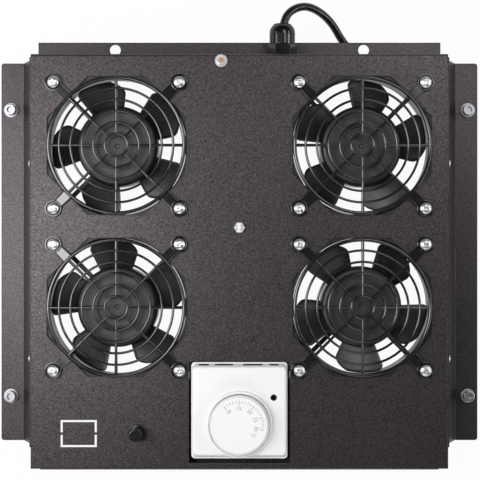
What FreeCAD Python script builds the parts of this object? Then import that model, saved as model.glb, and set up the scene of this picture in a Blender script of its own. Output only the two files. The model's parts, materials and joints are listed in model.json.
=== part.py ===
import FreeCAD, Part
import math
import operator
import os

import Sketcher

# A rack fan tray: a folded steel pan that carries four axial fans under finger guards, a room
# thermostat in a window, a fuse holder, an earth stud and a mains lead through a gland.
# Frame: +Z up out of the panel's face, +X to the right, +Y towards the back edge and the gland.
# The origin is on the floor, under the middle of the tray. Millimetres throughout.

Vector = FreeCAD.Vector
DOC = FreeCAD.newDocument("RackFanTray")
PARTS = []

SIZES = {
    # folded pan
    "sheet": 1.5,
    "pan_height": 42,
    "panel_y": -7.25,
    "thermostat_bay_gap": 2.5,
    "front_bay": 74.5,
    "back_bay": 16.5,
    "bend_inside": 0.6,
    "front_proud": 1,
    "corner_relief": 8,
    "side_lip": 18,
    "back_flange": 15.5,
    "flange_hole_pitch": 215,
    "flange_hole_bore": 4.75,
    "flange_hole_inset": 6.5,
    # side rails and their rivets and screws
    "rail_front_inset": 17.5,
    "rail_back_inset": 2.5,
    "rail_top_drop": 3,
    "rail_leg": 13,
    "web_run": 11.1,
    "rail_reach": 32,
    "rail_corner": 2.5,
    "rivet_inset": 91,
    "rivet_drop": 9,
    "rivet_shank": 1.6,
    "rivet_head": 3.2,
    "rivet_crown": 1.8,
    "mount_out": 23.5,
    "mount_front_inset": 56,
    "mount_back_inset": 43,
    "mount_shank": 3,
    "mount_step": 0.15,
    "mount_step_drop": 0.4,
    "mount_length": 20,
    "mount_head": 5,
    "mount_head_height": 6,
    "mount_socket": 5,
    "mount_hole_play": 0.3,
    "washer_rim": 6,
    "washer_thick": 1.6,
    # fans
    "fan_size": 120,
    "fan_side_gap": 11.5,
    "fan_row_gap": 15,
    "fan_depth": 38,
    "fan_corner": 6,
    "fan_flange": 4,
    "fan_screw_inset": 7.5,
    "duct_inset": 2,
    "duct_wall": 1.6,
    "duct_flare": 1.2,
    "strut_width": 3.8,
    "strut_depth": 4,
    "motor_plate": 31,
    "motor_plate_thick": 3,
    "bearing_bore": 2.55,
    "bearing_rim": 6.48,
    "bearing_height": 4,
    "bearing_play": 0.02,
    "tube_wall": 2.4,
    "tube_top": 26,
    "shaft": 2.5,
    "stator": 27.6,
    "stator_low": 8,
    "stator_high": 20,
    "coil_bundle": 6.4,
    "air_gap": 0.8,
    "rotor_wall": 2.8,
    "rotor_low": 7,
    "rotor_top": 29,
    "rotor_plate": 1.5,
    # impellers
    "hub": 34,
    "hub_low": 6,
    "hub_top": 31,
    "hub_round": 4,
    "blade_count": 5,
    "blade_span": 45.5,
    "blade_tip_gap": 1.4,
    "blade_round": 9,
    "blade_bow": 12,
    "blade_heel": 3.4,
    "blade_thick": 1.8,
    "blade_root_low": 8,
    "blade_root_high": 24.5,
    "blade_tip_low": 10.5,
    "blade_tip_high": 28,
    "blade_sag": 2.6,
    "blade_lead_round": 14,
    "blade_trail_round": 7,
    "turn_fan_1": 106.3,
    "turn_fan_2": 80,
    "turn_fan_3": 93.4,
    "turn_fan_4": 51.6,
    # finger guards and their screws
    "cutout_inset": 2.5,
    "ring_count": 5,
    "ring_width": 1.3,
    "rim_width": 2.6,
    "ring_low": 1.8,
    "guard_height": 4.4,
    "spoke_width": 1.3,
    "spoke_low": 1.4,
    "spoke_high": 3.8,
    "leg_root": 9.2,
    "leg_end": 7.4,
    "leg_thick": 1.6,
    "leg_rib": 1,
    "leg_rib_height": 3.2,
    "eyelet": 7.2,
    "eyelet_height": 2.2,
    "guard_screw": 2,
    "guard_screw_play": 0.25,
    "guard_screw_length": 12,
    "guard_screw_head": 4.9,
    "guard_screw_crown": 2.6,
    "guard_nut_across": 7,
    "guard_nut_height": 3.2,
    "thread_play": 0.02,
    # thermostat and its bracket
    "window": 84,
    "window_front_inset": 47,
    "bracket_sheet": 1.2,
    "bracket_fan_gap": 1.5,
    "bracket_margin": 10,
    "bracket_rear_gap": 2.2,
    "bracket_hole": 2.1,
    "bracket_lap": 12,
    "stat_size": 80,
    "stat_front_inset": 48.8,
    "stat_screw_out": 32,
    "stat_screw_back": 30,
    "stat_screw": 2,
    "stat_screw_head": 3.6,
    "stat_screw_grip": 5,
    "stat_depth": 20.8,
    "stat_wall": 2,
    "stat_floor": 2.4,
    "stat_corner": 3,
    "cover_step": 0.7,
    "cover_width": 77.4,
    "cover_height": 72.4,
    "cover_lift": 8.8,
    "cover_edge": 1.5,
    "dial_forward": 10.2,
    "dial": 25,
    "dial_play": 0.4,
    "dial_seat": 11,
    "dial_top": 18,
    "dial_edge": 2.2,
    "dial_rim": 0.7,
    "dial_sink": 0.2,
    "collar_foot": 29.2,
    "collar_lip": 26.9,
    "collar_top": 13,
    "spindle": 3,
    "spindle_play": 0.05,
    "spindle_foot": -17.6,
    "lamp_x": 28.3,
    "lamp_back": 11.6,
    "lamp_hole": 2.65,
    "vent_height": 0.9,
    # rocker-switch knock-out and fuse holder
    "knock_side_inset": 40,
    "knock_front_inset": 29.3,
    "knock_length": 30.3,
    "knock_width": 22.75,
    "knock_slot": 1.9,
    "knock_tab": 1,
    "fuse_side_inset": 88.7,
    "fuse_front_inset": 29.9,
    "fuse_flange": 7.5,
    "fuse_flange_height": 2,
    "fuse_bushing": 6,
    "fuse_hole_play": 0.15,
    "fuse_bushing_depth": 14,
    "fuse_tail": 5.2,
    "fuse_tail_depth": 33,
    "fuse_bore": 4.5,
    "fuse_cap": 5.6,
    "fuse_cap_top": 16,
    "fuse_carrier_depth": 14,
    "fuse_running": 0.08,
    "fuse_link": 2.6,
    "fuse_link_length": 20,
    "fuse_link_top": -8,
    "fuse_nut_across": 15,
    "fuse_nut_height": 3.5,
    # studs and terminal block
    "earth_x": -15.2,
    "earth_back_inset": 6,
    "earth_stud": 2,
    "earth_stud_height": 6.5,
    "earth_washer": 5.2,
    "earth_washer_thick": 1,
    "earth_nut_across": 7,
    "earth_nut_height": 3.2,
    "centre_forward": 1,
    "centre_bolt": 2.5,
    "centre_bolt_tip": 6.8,
    "centre_washer": 4.8,
    "centre_washer_thick": 1.1,
    "centre_nut_across": 8,
    "centre_nut_height": 4,
    "block_length": 44,
    "block_width": 22,
    "block_height": 18,
    "block_step": 6,
    "block_pitch": 12,
    # cable gland
    "gland_x": 36.4,
    "gland_drop": 20,
    "gland_across": 22,
    "gland_hex": 10,
    "gland_spigot": 8,
    "gland_spigot_length": 9,
    "gland_thread": 8.4,
    "gland_thread_length": 7,
    "gland_bore": 5.4,
    "gland_nut": 10.9,
    "gland_nut_length": 17.6,
    "gland_mouth": 5.6,
    "gland_play": 0.1,
    "locknut_across": 19,
    "locknut_height": 4,
    # mains lead
    "cord": 3.5,
    "coil_inner": 27.5,
    "coil_outer": 48.5,
    "coil_x": 1.5,
    "coil_y": 72,
    "plug_heading": -68,
    "plug_grip_length": 32,
    "plug_hood_length": 17,
    "plug_width": 27,
    "plug_height": 19,
    "plug_hood_wall": 1.8,
    "plug_boot_length": 22,
}


class Dim:
    """A size together with the sheet formula that gives it."""

    def __init__(self, value, formula):
        self.value = float(value)
        self.formula = formula

    def __add__(self, other):
        return joined(self, "+", other)

    def __radd__(self, other):
        return joined(other, "+", self)

    def __sub__(self, other):
        return joined(self, "-", other)

    def __rsub__(self, other):
        return joined(other, "-", self)

    def __mul__(self, other):
        return joined(self, "*", other)

    def __rmul__(self, other):
        return joined(other, "*", self)

    def __truediv__(self, other):
        return joined(self, "/", other)

    def __rtruediv__(self, other):
        return joined(other, "/", self)

    def __neg__(self):
        return joined(0, "-", self)


SIGNS = {"+": operator.add, "-": operator.sub, "*": operator.mul, "/": operator.truediv}


def dim(size):
    """A plain number as a Dim."""
    return size if isinstance(size, Dim) else Dim(size, f"({float(size):.6f})")


def joined(first, sign, second):
    """Two sizes joined by one of + - * /."""
    first, second = dim(first), dim(second)
    value = SIGNS[sign](first.value, second.value)
    return Dim(value, f"({first.formula} {sign} {second.formula})")


def sine(angle):
    angle = dim(angle)
    return Dim(math.sin(math.radians(angle.value)), f"sin({angle.formula})")


def cosine(angle):
    angle = dim(angle)
    return Dim(math.cos(math.radians(angle.value)), f"cos({angle.formula})")


def root(size):
    size = dim(size)
    return Dim(math.sqrt(max(size.value, 0)), f"sqrt({size.formula})")


class Sheet:
    """The driving dimensions: one cell each, read back as Dims by name."""

    def __init__(self, sizes):
        self.cells = DOC.addObject("Spreadsheet::Sheet", "Sizes")
        for row, (name, value) in enumerate(sizes.items(), start=1):
            self.cells.set(f"A{row}", name)
            self.cells.set(f"B{row}", str(value))
            self.cells.setAlias(f"B{row}", name)
            setattr(self, name, Dim(value, f"Sizes.{name}"))
        DOC.recompute()


S = Sheet(SIZES)

# Levels and places that several pieces share
RAIL_LOW = S.mount_length - S.washer_thick - S.sheet
FACE = RAIL_LOW + S.pan_height
HALF_WIDTH = S.stat_size / 2 + S.thermostat_bay_gap + S.fan_size + S.fan_side_gap
HALF_DEPTH = (S.front_bay + 2 * S.fan_size + S.fan_row_gap + S.back_bay) / 2
FAN_LOW = -(S.sheet + S.fan_depth)
FAN_OUT = HALF_WIDTH - S.fan_side_gap - S.fan_size / 2
FAN_BACK_ROW = HALF_DEPTH - S.back_bay - S.fan_size / 2
FAN_FRONT_ROW = FAN_BACK_ROW - S.fan_row_gap - S.fan_size
SCREW_OUT = S.fan_size / 2 - S.fan_screw_inset
DUCT = S.fan_size / 2 - S.duct_inset
BLADE_TIP = DUCT - S.blade_tip_gap
RING_PITCH = (DUCT - 1) / (S.ring_count + 1)
STAT_Y = -HALF_DEPTH + S.stat_front_inset
DIAL_Y = STAT_Y - S.dial_forward
KNOCK_X = -HALF_WIDTH + S.knock_side_inset
KNOCK_Y = -HALF_DEPTH + S.knock_front_inset
FUSE_X = -HALF_WIDTH + S.fuse_side_inset
FUSE_Y = -HALF_DEPTH + S.fuse_front_inset
CENTRE_Y = (FAN_BACK_ROW + FAN_FRONT_ROW) / 2 - S.centre_forward
MOUNT_X = HALF_WIDTH + S.mount_out
MOUNT_ROWS = (-HALF_DEPTH + S.mount_front_inset, HALF_DEPTH - S.mount_back_inset)
RIVET_ROWS = (-HALF_DEPTH + S.rivet_inset, HALF_DEPTH - S.rivet_inset)
SIDES = (-1, 1)
FANS = {
    1: (-FAN_OUT, FAN_BACK_ROW),
    2: (FAN_OUT, FAN_BACK_ROW),
    3: (-FAN_OUT, FAN_FRONT_ROW),
    4: (FAN_OUT, FAN_FRONT_ROW),
}


# ---------------------------------------------------------------- drawing helpers


def bind(thing, prop, size):
    """Ties one property to the sheet."""
    thing.setExpression(prop, dim(size).formula)


def place(thing, x=0, y=0, z=0, axis=None, turn=0):
    """Puts a piece at x, y, z, turned about an axis through its own origin."""
    if axis:
        thing.Placement = FreeCAD.Placement(Vector(0, 0, 0), FreeCAD.Rotation(Vector(*axis), 1))
        bind(thing, "Placement.Rotation.Angle", turn)
    for name, size in zip("xyz", (x, y, z)):
        bind(thing, f"Placement.Base.{name}", size)
    return thing


def on_panel(thing, x=0, y=0, z=0, axis=None, turn=0):
    """Puts a piece at a place measured from the middle of the panel's face."""
    return place(thing, x, S.panel_y + y, FACE + z, axis, turn)


def box(name, across, along, up):
    """A block between two values on each axis."""
    block = DOC.addObject("Part::Box", name)
    spans = zip(("Length", "Width", "Height"), "xyz", (across, along, up))
    for prop, axis, (low, high) in spans:
        bind(block, prop, dim(high) - low)
        bind(block, f"Placement.Base.{axis}", low)
    return block


def rod(name, radius, low, high, x=0, y=0):
    """An upright cylinder."""
    cylinder = DOC.addObject("Part::Cylinder", name)
    bind(cylinder, "Radius", radius)
    bind(cylinder, "Height", dim(high) - low)
    return place(cylinder, x, y, low)


def prism(name, sides, across, low, high, x=0, y=0):
    """An upright prism with a flat towards +Y, sized across its flats."""
    solid = DOC.addObject("Part::Prism", name)
    solid.Polygon = sides
    bind(solid, "Circumradius", dim(across) / 2 / cosine(180 / sides))
    bind(solid, "Height", dim(high) - low)
    return place(solid, x, y, low, (0, 0, 1), 90 - 180 / sides)


def combined(kind, name, parts):
    result = DOC.addObject(kind, name)
    result.Shapes = list(parts)
    result.Refine = True
    return result


def fuse(name, *parts):
    return combined("Part::MultiFuse", name, parts)


def common(name, *parts):
    return combined("Part::MultiCommon", name, parts)


def group(name, parts):
    """Separate solids kept together in one piece."""
    held = DOC.addObject("Part::Compound", name)
    held.Links = list(parts)
    return held


def cut(name, base, *tools):
    result = DOC.addObject("Part::Cut", name)
    result.Base = base
    result.Tool = tools[0] if len(tools) == 1 else group(f"{name}_tools", tools)
    result.Refine = True
    return result


def copy_of(name, source):
    """A second placing of a piece that is drawn once."""
    return group(name, [source])


def ring_of(name, source, count, first=0):
    """Copies of a piece turned evenly about Z."""
    return [
        place(copy_of(f"{name}_{k}", source), axis=(0, 0, 1), turn=first + 360 / dim(count) * k)
        for k in range(int(dim(count).value))
    ]


def rounded(outline):
    """Corners (x, y) or (x, y, radius) as the ends of lines, with the radius of the arc that follows each."""
    ends = []
    count = len(outline)
    for number, corner in enumerate(outline):
        x, y = dim(corner[0]), dim(corner[1])
        if len(corner) < 3:
            ends.append((x, y, None, 0))
            continue
        before, after = outline[number - 1], outline[(number + 1) % count]
        (ux, uy), (vx, vy) = heading(before, corner), heading(corner, after)
        side = math.copysign(1, (ux * vy - uy * vx).value)
        back = dim(corner[2]) * (1 - (ux * vx + uy * vy)) / (side * (ux * vy - uy * vx))
        ends.append((x - back * ux, y - back * uy, dim(corner[2]), side))
        ends.append((x + back * vx, y + back * vy, None, 0))
    return ends


def heading(start, end):
    """The unit direction from one corner to the next."""
    across, up = dim(end[0]) - start[0], dim(end[1]) - start[1]
    length = root(across * across + up * up)
    return across / length, up / length


def arc_between(start, end, radius, side):
    """The short arc of that radius; side 1 turns left on the way."""
    chord = end - start
    sagitta = radius - math.sqrt(max(radius * radius - chord.Length**2 / 4, 0))
    outward = Vector(chord.y, -chord.x, 0).normalize() * side
    return Part.Arc(start, (start + end) / 2 + outward * sagitta, end)


def sketch(name, outline, plane=None):
    """A closed outline, every end of it tied to the sheet."""
    drawing = DOC.addObject("Sketcher::SketchObject", name)
    ends = rounded(outline)
    spots = [Vector(x.value, y.value, 0) for x, y, _, _ in ends]
    entries = []
    for number, (_, _, radius, side) in enumerate(ends):
        start, end = spots[number], spots[(number + 1) % len(spots)]
        if radius:
            drawing.addGeometry(arc_between(start, end, radius.value, side))
            entries.append(1 if side > 0 else 2)
        else:
            drawing.addGeometry(Part.LineSegment(start, end))
            entries.append(1)
    for number, (x, y, radius, _) in enumerate(ends):
        following = (number + 1) % len(ends)
        leave = 3 - entries[number]
        drawing.addConstraint(
            Sketcher.Constraint("Coincident", number, leave, following, entries[following])
        )
        for kind, size in (("DistanceX", x), ("DistanceY", y)):
            made = drawing.addConstraint(
                Sketcher.Constraint(kind, number, entries[number], size.value)
            )
            drawing.setExpression(f"Constraints[{made}]", size.formula)
        if radius:
            made = drawing.addConstraint(Sketcher.Constraint("Radius", number, radius.value))
            drawing.setExpression(f"Constraints[{made}]", radius.formula)
    if plane:
        drawing.Placement = FreeCAD.Placement(Vector(0, 0, 0), plane)
    return drawing


UPRIGHT = FreeCAD.Rotation(Vector(1, 0, 0), 90)
SIDEWAYS = FreeCAD.Rotation(Vector(1, 1, 1), 120)


def extruded(name, outline, low, high, direction=(0, 0, 1)):
    """An outline drawn across a row axis and drawn out along it between two values."""
    plane = {(0, 0, 1): None, (0, 1, 0): UPRIGHT, (1, 0, 0): SIDEWAYS}[direction]
    drawing = sketch(f"{name}_outline", outline, plane)
    bind(drawing, f"Placement.Base.{'xyz'[direction.index(1)]}", low)
    solid = DOC.addObject("Part::Extrusion", name)
    solid.Base = drawing
    solid.DirMode = "Custom"
    solid.Dir = direction
    solid.Solid = True
    bind(solid, "LengthFwd", dim(high) - low)
    return solid


def turned(name, outline):
    """An outline of (radius, height) corners turned about Z."""
    solid = DOC.addObject("Part::Revolution", name)
    solid.Source = sketch(f"{name}_outline", outline, UPRIGHT)
    solid.Axis = (0, 0, 1)
    solid.Angle = 360
    solid.Solid = True
    return solid


def tube(name, inner, outer, low, high):
    return turned(name, [(inner, low), (outer, low), (outer, high), (inner, high)])


def fastener_nut(name, across, bore, low, high):
    """A hexagon nut with a plain bore."""
    return cut(name, prism(f"{name}_hex", 6, across, low, high), rod(f"{name}_bore", bore, low, high))


def keep(thing):
    """Marks a finished sub-part; its label is its node's name."""
    PARTS.append(thing)
    return thing


# ---------------------------------------------------------------- pan and rails


def pan_profile():
    """Front wall, face, back wall and back flange as one folded strip, seen along X."""
    front, back = -(HALF_DEPTH + S.front_proud), HALF_DEPTH
    inside = S.bend_inside
    outside = S.bend_inside + S.sheet
    low = -S.pan_height
    return [
        (front, low),
        (front + S.sheet, low),
        (front + S.sheet, -S.sheet, inside),
        (back - S.sheet, -S.sheet, inside),
        (back - S.sheet, low, outside),
        (back + S.back_flange, low),
        (back + S.back_flange, low + S.sheet),
        (back, low + S.sheet, inside),
        (back, 0, outside),
        (front, 0, outside),
    ]


def knock_out_slots():
    """The slots that free a rocker-switch blank, but for a tab at each end."""
    length, width, slot = S.knock_length / 2, S.knock_width / 2, S.knock_slot
    level = (-2 * S.sheet, S.sheet)
    slots = []
    for k in SIDES:
        edge_x, edge_y = KNOCK_X + k * length, KNOCK_Y + k * width
        inner_x, inner_y = edge_x - k * slot, edge_y - k * slot
        across = (KNOCK_X - length, KNOCK_X + length)
        slots.append(box(f"knock_long_{k + 1}", across, ordered(edge_y, inner_y), level))
        for j in SIDES:
            along = ordered(KNOCK_Y + j * S.knock_tab, KNOCK_Y + j * width)
            name = f"knock_short_{k + 1}_{j + 1}"
            slots.append(box(name, ordered(edge_x, inner_x), along, level))
    return slots


def ordered(first, second):
    """Two sizes, the lower one first."""
    return (first, second) if first.value < second.value else (second, first)


def fan_corners(x, y):
    """The four screw places round a fan."""
    return [(x + i * SCREW_OUT, y + j * SCREW_OUT) for i in SIDES for j in SIDES]


def pan_openings():
    """Everything that is punched through the pan."""
    level = (-2 * S.sheet, S.sheet)
    half = S.window / 2
    holes = knock_out_slots()
    middle = -HALF_DEPTH + S.window_front_inset
    holes.append(box("window_cut", (-half, half), (middle - half, middle + half), level))
    for number, (x, y) in FANS.items():
        holes.append(prism(f"fan_cut_{number}", 8, S.fan_size - 2 * S.cutout_inset, *level, x, y))
        for corner, (u, v) in enumerate(fan_corners(x, y)):
            bore = S.guard_screw + S.guard_screw_play
            holes.append(rod(f"guard_hole_{number}_{corner}", bore, *level, u, v))
    bore = S.fuse_bushing + S.fuse_hole_play
    holes.append(rod("fuse_hole", bore, *level, FUSE_X, FUSE_Y))
    holes.append(rod("centre_hole", S.centre_bolt + S.fuse_hole_play, *level, 0, CENTRE_Y))
    flange = (-S.pan_height - S.sheet, -S.pan_height + 2 * S.sheet)
    for k in SIDES:
        x, y = k * S.flange_hole_pitch / 2, HALF_DEPTH + S.back_flange - S.flange_hole_inset
        holes.append(rod(f"flange_hole_{k + 1}", S.flange_hole_bore, *flange, x, y))
    gland = rod("gland_hole", S.gland_spigot + S.gland_play, -3 * S.sheet, 3 * S.sheet)
    holes.append(place(gland, S.gland_x, HALF_DEPTH + 2 * S.sheet, -S.gland_drop, (1, 0, 0), 90))
    for side in SIDES:
        for row, y in enumerate(RIVET_ROWS):
            hole = rod(f"rivet_hole_{side + 1}_{row}", S.rivet_shank, 0, 4 * S.sheet)
            x = side * HALF_WIDTH - 2 * S.sheet
            holes.append(place(hole, x, y, -S.rivet_drop, (0, 1, 0), 90))
    return holes


def make_tray_pan():
    """The folded pan: face, four walls or lips, back flange, cut-outs."""
    strip = extruded("pan_strip", pan_profile(), -HALF_WIDTH, HALF_WIDTH, (1, 0, 0))
    lips, reliefs = [], []
    front = HALF_DEPTH + S.front_proud
    for side in SIDES:
        lip = ordered(side * HALF_WIDTH, side * (HALF_WIDTH - S.sheet))
        along = (-(HALF_DEPTH - S.corner_relief), HALF_DEPTH - S.sheet)
        lips.append(box(f"lip_{side + 1}", lip, along, (-S.side_lip, -S.bend_inside)))
        edge = ordered(side * (HALF_WIDTH + 1), side * (HALF_WIDTH - S.corner_relief))
        reliefs.append(box(f"relief_{side + 1}", edge, (-front - 1, -HALF_DEPTH), (-S.pan_height, 1)))
        wall = (-front - 1, -front + S.sheet + S.bend_inside)
        reliefs.append(box(f"wall_relief_{side + 1}", edge, wall, (-S.pan_height, -S.sheet)))
    folded = fuse("pan_folded", strip, *lips)
    keep(on_panel(cut("tray_pan", folded, *reliefs, *pan_openings())))


def rail_profile():
    """Leg, slanted web and flange of a side rail as one folded strip, seen along Y from the front."""
    side = HALF_WIDTH
    top = -S.rail_top_drop
    bend = -(S.rail_top_drop + S.rail_leg)
    low = -S.pan_height
    drop = S.pan_height - S.sheet - S.rail_top_drop - S.rail_leg
    slant = root(S.web_run * S.web_run + drop * drop)
    upper_mitre = S.sheet * (slant - drop) / S.web_run
    lower_mitre = S.sheet * (slant - S.web_run) / drop
    outside = S.bend_inside + S.sheet
    return [
        (side, top),
        (side, bend - upper_mitre, S.bend_inside),
        (side + S.sheet + S.web_run - lower_mitre, low, outside),
        (side + S.rail_reach, low),
        (side + S.rail_reach, low + S.sheet),
        (side + S.sheet + S.web_run, low + S.sheet, S.bend_inside),
        (side + S.sheet, bend, outside),
        (side + S.sheet, top),
    ]


def make_rails():
    """The two folded side rails, drawn once for the right and mirrored for the left."""
    front, back = -HALF_DEPTH + S.rail_front_inset, HALF_DEPTH - S.rail_back_inset
    bar = extruded("rail_bar", rail_profile(), front, back, (0, 1, 0))
    outer = HALF_WIDTH + S.rail_reach
    plan = [
        (HALF_WIDTH - 1, front),
        (outer, front, S.rail_corner),
        (outer, back, S.rail_corner),
        (HALF_WIDTH - 1, back),
    ]
    trimmed = common("rail_trimmed", bar, extruded("rail_plan", plan, -S.pan_height - 1, 0))
    holes = []
    bore = S.mount_shank + S.mount_hole_play
    level = (-S.pan_height - S.sheet, -S.pan_height + 2 * S.sheet)
    for row in (0, 1):
        holes.append(rod(f"mount_hole_{row}", bore, *level, MOUNT_X, MOUNT_ROWS[row]))
        hole = rod(f"rail_rivet_hole_{row}", S.rivet_shank, 0, 3 * S.sheet)
        x, y = HALF_WIDTH - S.sheet, RIVET_ROWS[row]
        holes.append(place(hole, x, y, -S.rivet_drop, (0, 1, 0), 90))
    shape = cut("rail_shape", trimmed, *holes)
    mirrored = DOC.addObject("Part::Mirroring", "rail_mirrored")
    mirrored.Source = shape
    mirrored.Normal = (1, 0, 0)
    keep(on_panel(copy_of("left_rail", mirrored)))
    keep(on_panel(copy_of("right_rail", shape)))


def make_rail_rivets():
    """Four blind rivets through the pan's lips and the rails' legs."""
    grip = 2 * S.sheet
    outline = [
        (0, -0.9),
        (S.rivet_shank + 0.7, -0.9),
        (S.rivet_shank + 0.7, 0),
        (S.rivet_shank - S.thread_play, 0),
        (S.rivet_shank - S.thread_play, grip),
        (S.rivet_head, grip),
        (S.rivet_head * 0.8, grip + S.rivet_crown * 0.75),
        (S.rivet_shank * 0.6, grip + S.rivet_crown),
        (0, grip + S.rivet_crown),
    ]
    rivet = turned("rivet", outline)
    rivets = []
    for side in SIDES:
        for row, y in enumerate(RIVET_ROWS):
            copy = copy_of(f"rivet_{side + 1}_{row}", rivet)
            x = side * (HALF_WIDTH - S.sheet)
            rivets.append(place(copy, x, y, -S.rivet_drop, (0, 1, 0), 90 * side))
    keep(on_panel(group("rail_rivets", rivets)))


def make_mounting_hardware():
    """Hexagon-socket screws and washers through the rails' flanges; the shank steps out under them."""
    top = S.mount_length
    step = RAIL_LOW - S.mount_step_drop
    head = turned(
        "mount_screw_blank",
        [
            (0, 0),
            (S.mount_shank - 0.4, 0),
            (S.mount_shank, 0.6),
            (S.mount_shank, step),
            (S.mount_shank + S.mount_step, step),
            (S.mount_shank + S.mount_step, top),
            (S.mount_head, top),
            (S.mount_head, top + S.mount_head_height, 0.7),
            (0, top + S.mount_head_height),
        ],
    )
    socket = prism(
        "mount_socket", 6, S.mount_socket, top + S.mount_head_height / 2, top + S.mount_head_height
    )
    screw = cut("mount_screw", head, socket)
    bore = S.mount_shank + S.mount_hole_play
    washer = tube("mount_washer", bore, S.washer_rim, top - S.washer_thick, top)
    screws, washers = [], []
    for side in SIDES:
        for row in (0, 1):
            x, y = side * MOUNT_X, S.panel_y + MOUNT_ROWS[row]
            screws.append(place(copy_of(f"mount_screw_{side + 1}_{row}", screw), x, y))
            washers.append(place(copy_of(f"mount_washer_{side + 1}_{row}", washer), x, y))
    keep(group("mounting_screws", screws))
    keep(group("mounting_washers", washers))


# ---------------------------------------------------------------- fans


def square(half, radius):
    return [(i * half, j * half, radius) for i, j in ((-1, -1), (1, -1), (1, 1), (-1, 1))]


def fan_frame():
    """Cast frame: two square flanges on a round duct, four struts, motor plate and bearing tube."""
    half, depth = S.fan_size / 2, S.fan_depth
    block = extruded("frame_block", square(half, S.fan_corner), 0, depth)
    waist_level = (S.fan_flange, depth - S.fan_flange)
    waist_block = box("waist_block", (-half - 1, half + 1), (-half - 1, half + 1), waist_level)
    waist = cut("waist", waist_block, rod("waist_duct", DUCT + S.duct_wall, *waist_level))
    mouth = DUCT + S.duct_flare
    bore = turned(
        "duct",
        [
            (0, -1),
            (mouth, -1),
            (mouth, 0),
            (DUCT, S.fan_flange),
            (DUCT, depth - S.fan_flange),
            (mouth, depth),
            (mouth, depth + 1),
            (0, depth + 1),
        ],
    )
    holes = [
        rod(f"frame_hole_{k}", S.guard_screw + S.guard_screw_play, -1, depth + 1, x, y)
        for k, (x, y) in enumerate(fan_corners(0, 0))
    ]
    shell = cut("frame_shell", block, waist, bore, *holes)
    strut_ends = (S.motor_plate - 2, DUCT + S.duct_wall / 2)
    strut_sides = (-S.strut_width / 2, S.strut_width / 2)
    strut = box("strut", strut_ends, strut_sides, (0, S.strut_depth))
    seat = S.bearing_rim + S.bearing_play
    mount = turned(
        "motor_mount",
        [
            (0, 0),
            (S.motor_plate, 0, 0.8),
            (S.motor_plate, S.motor_plate_thick),
            (seat + S.tube_wall, S.motor_plate_thick),
            (seat + S.tube_wall, S.tube_top),
            (seat, S.tube_top),
            (seat, S.motor_plate_thick),
            (0, S.motor_plate_thick),
        ],
    )
    return fuse("frame_master", shell, mount, *ring_of("strut", strut, 4, 45))


def stator():
    """Four-pole laminated core on the bearing tube, with a winding bundle in each slot."""
    inner = S.bearing_rim + S.bearing_play + S.tube_wall + S.bearing_play
    blank = tube("core_blank", inner, S.stator, S.stator_low, S.stator_high)
    level = (S.stator_low - 1, S.stator_high + 1)
    middle = (inner + S.stator) / 2
    pocket = fuse(
        "slot_shape",
        rod("slot_round", S.coil_bundle + 0.4, *level, middle, 0),
        box("slot_mouth", (middle, S.stator + 1), (-1.5, 1.5), level),
    )
    core = cut("core", blank, *ring_of("slot", pocket, 4))
    over = 3
    bundle_level = (S.stator_low - over, S.stator_high + over)
    bundle = rod("bundle_shape", S.coil_bundle, *bundle_level, middle, 0)
    return group("stator_master", [core, *ring_of("bundle", bundle, 4)])


def rotor():
    """Steel cup round the stator, with the shaft that runs in the bearings."""
    inner = S.stator + S.air_gap
    outer = inner + S.rotor_wall
    plate = S.rotor_top - S.rotor_plate
    return turned(
        "rotor_master",
        [
            (0, S.motor_plate_thick + 0.6),
            (S.shaft, S.motor_plate_thick + 0.6),
            (S.shaft, plate),
            (inner, plate),
            (inner, S.rotor_low),
            (outer, S.rotor_low),
            (outer, S.rotor_top),
            (0, S.rotor_top),
        ],
    )


def hub():
    """Moulded hub: a cup over the rotor, with a ring and a cap raised on its face."""
    inner = S.stator + S.air_gap + S.rotor_wall + S.bearing_play
    rim = S.hub - S.hub_round
    face = S.hub_top - 0.6
    return turned(
        "hub_shape",
        [
            (0, S.rotor_top),
            (inner, S.rotor_top),
            (inner, S.hub_low),
            (S.hub, S.hub_low),
            (S.hub, S.hub_top, S.hub_round),
            (rim - 0.4, S.hub_top),
            (rim - 0.4, face),
            (rim * 0.58, face),
            (rim * 0.58, S.hub_top),
            (rim * 0.53, S.hub_top),
            (rim * 0.53, face),
            (rim * 0.27, face),
            (rim * 0.27, S.hub_top + 0.4, 0.4),
            (rim * 0.07, S.hub_top + 0.4),
            (rim * 0.05, face + 0.4),
            (0, face + 0.4),
        ],
    )


def polar(out, angle):
    """A corner at a distance from the axis and an angle from +X."""
    return out * cosine(angle), out * sine(angle)


def blade_section(name, out, low, high):
    """A blade seen from the tip: a sagging strip that climbs from its low edge to its high one."""
    half = out * sine(S.blade_span / 2) / cosine(S.blade_span / 2) * 1.1
    rise = (high - low) / 2 * 1.1
    middle = (low + high) / 2
    belly = middle - S.blade_sag
    thick = S.blade_thick
    bow = out
    outline = [
        (-half, middle - rise),
        (0, belly, bow + thick),
        (half, middle + rise),
        (half, middle + rise + thick),
        (0, belly + thick, bow),
        (-half, middle - rise + thick),
    ]
    return place(sketch(name, outline, SIDEWAYS), out)


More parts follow.
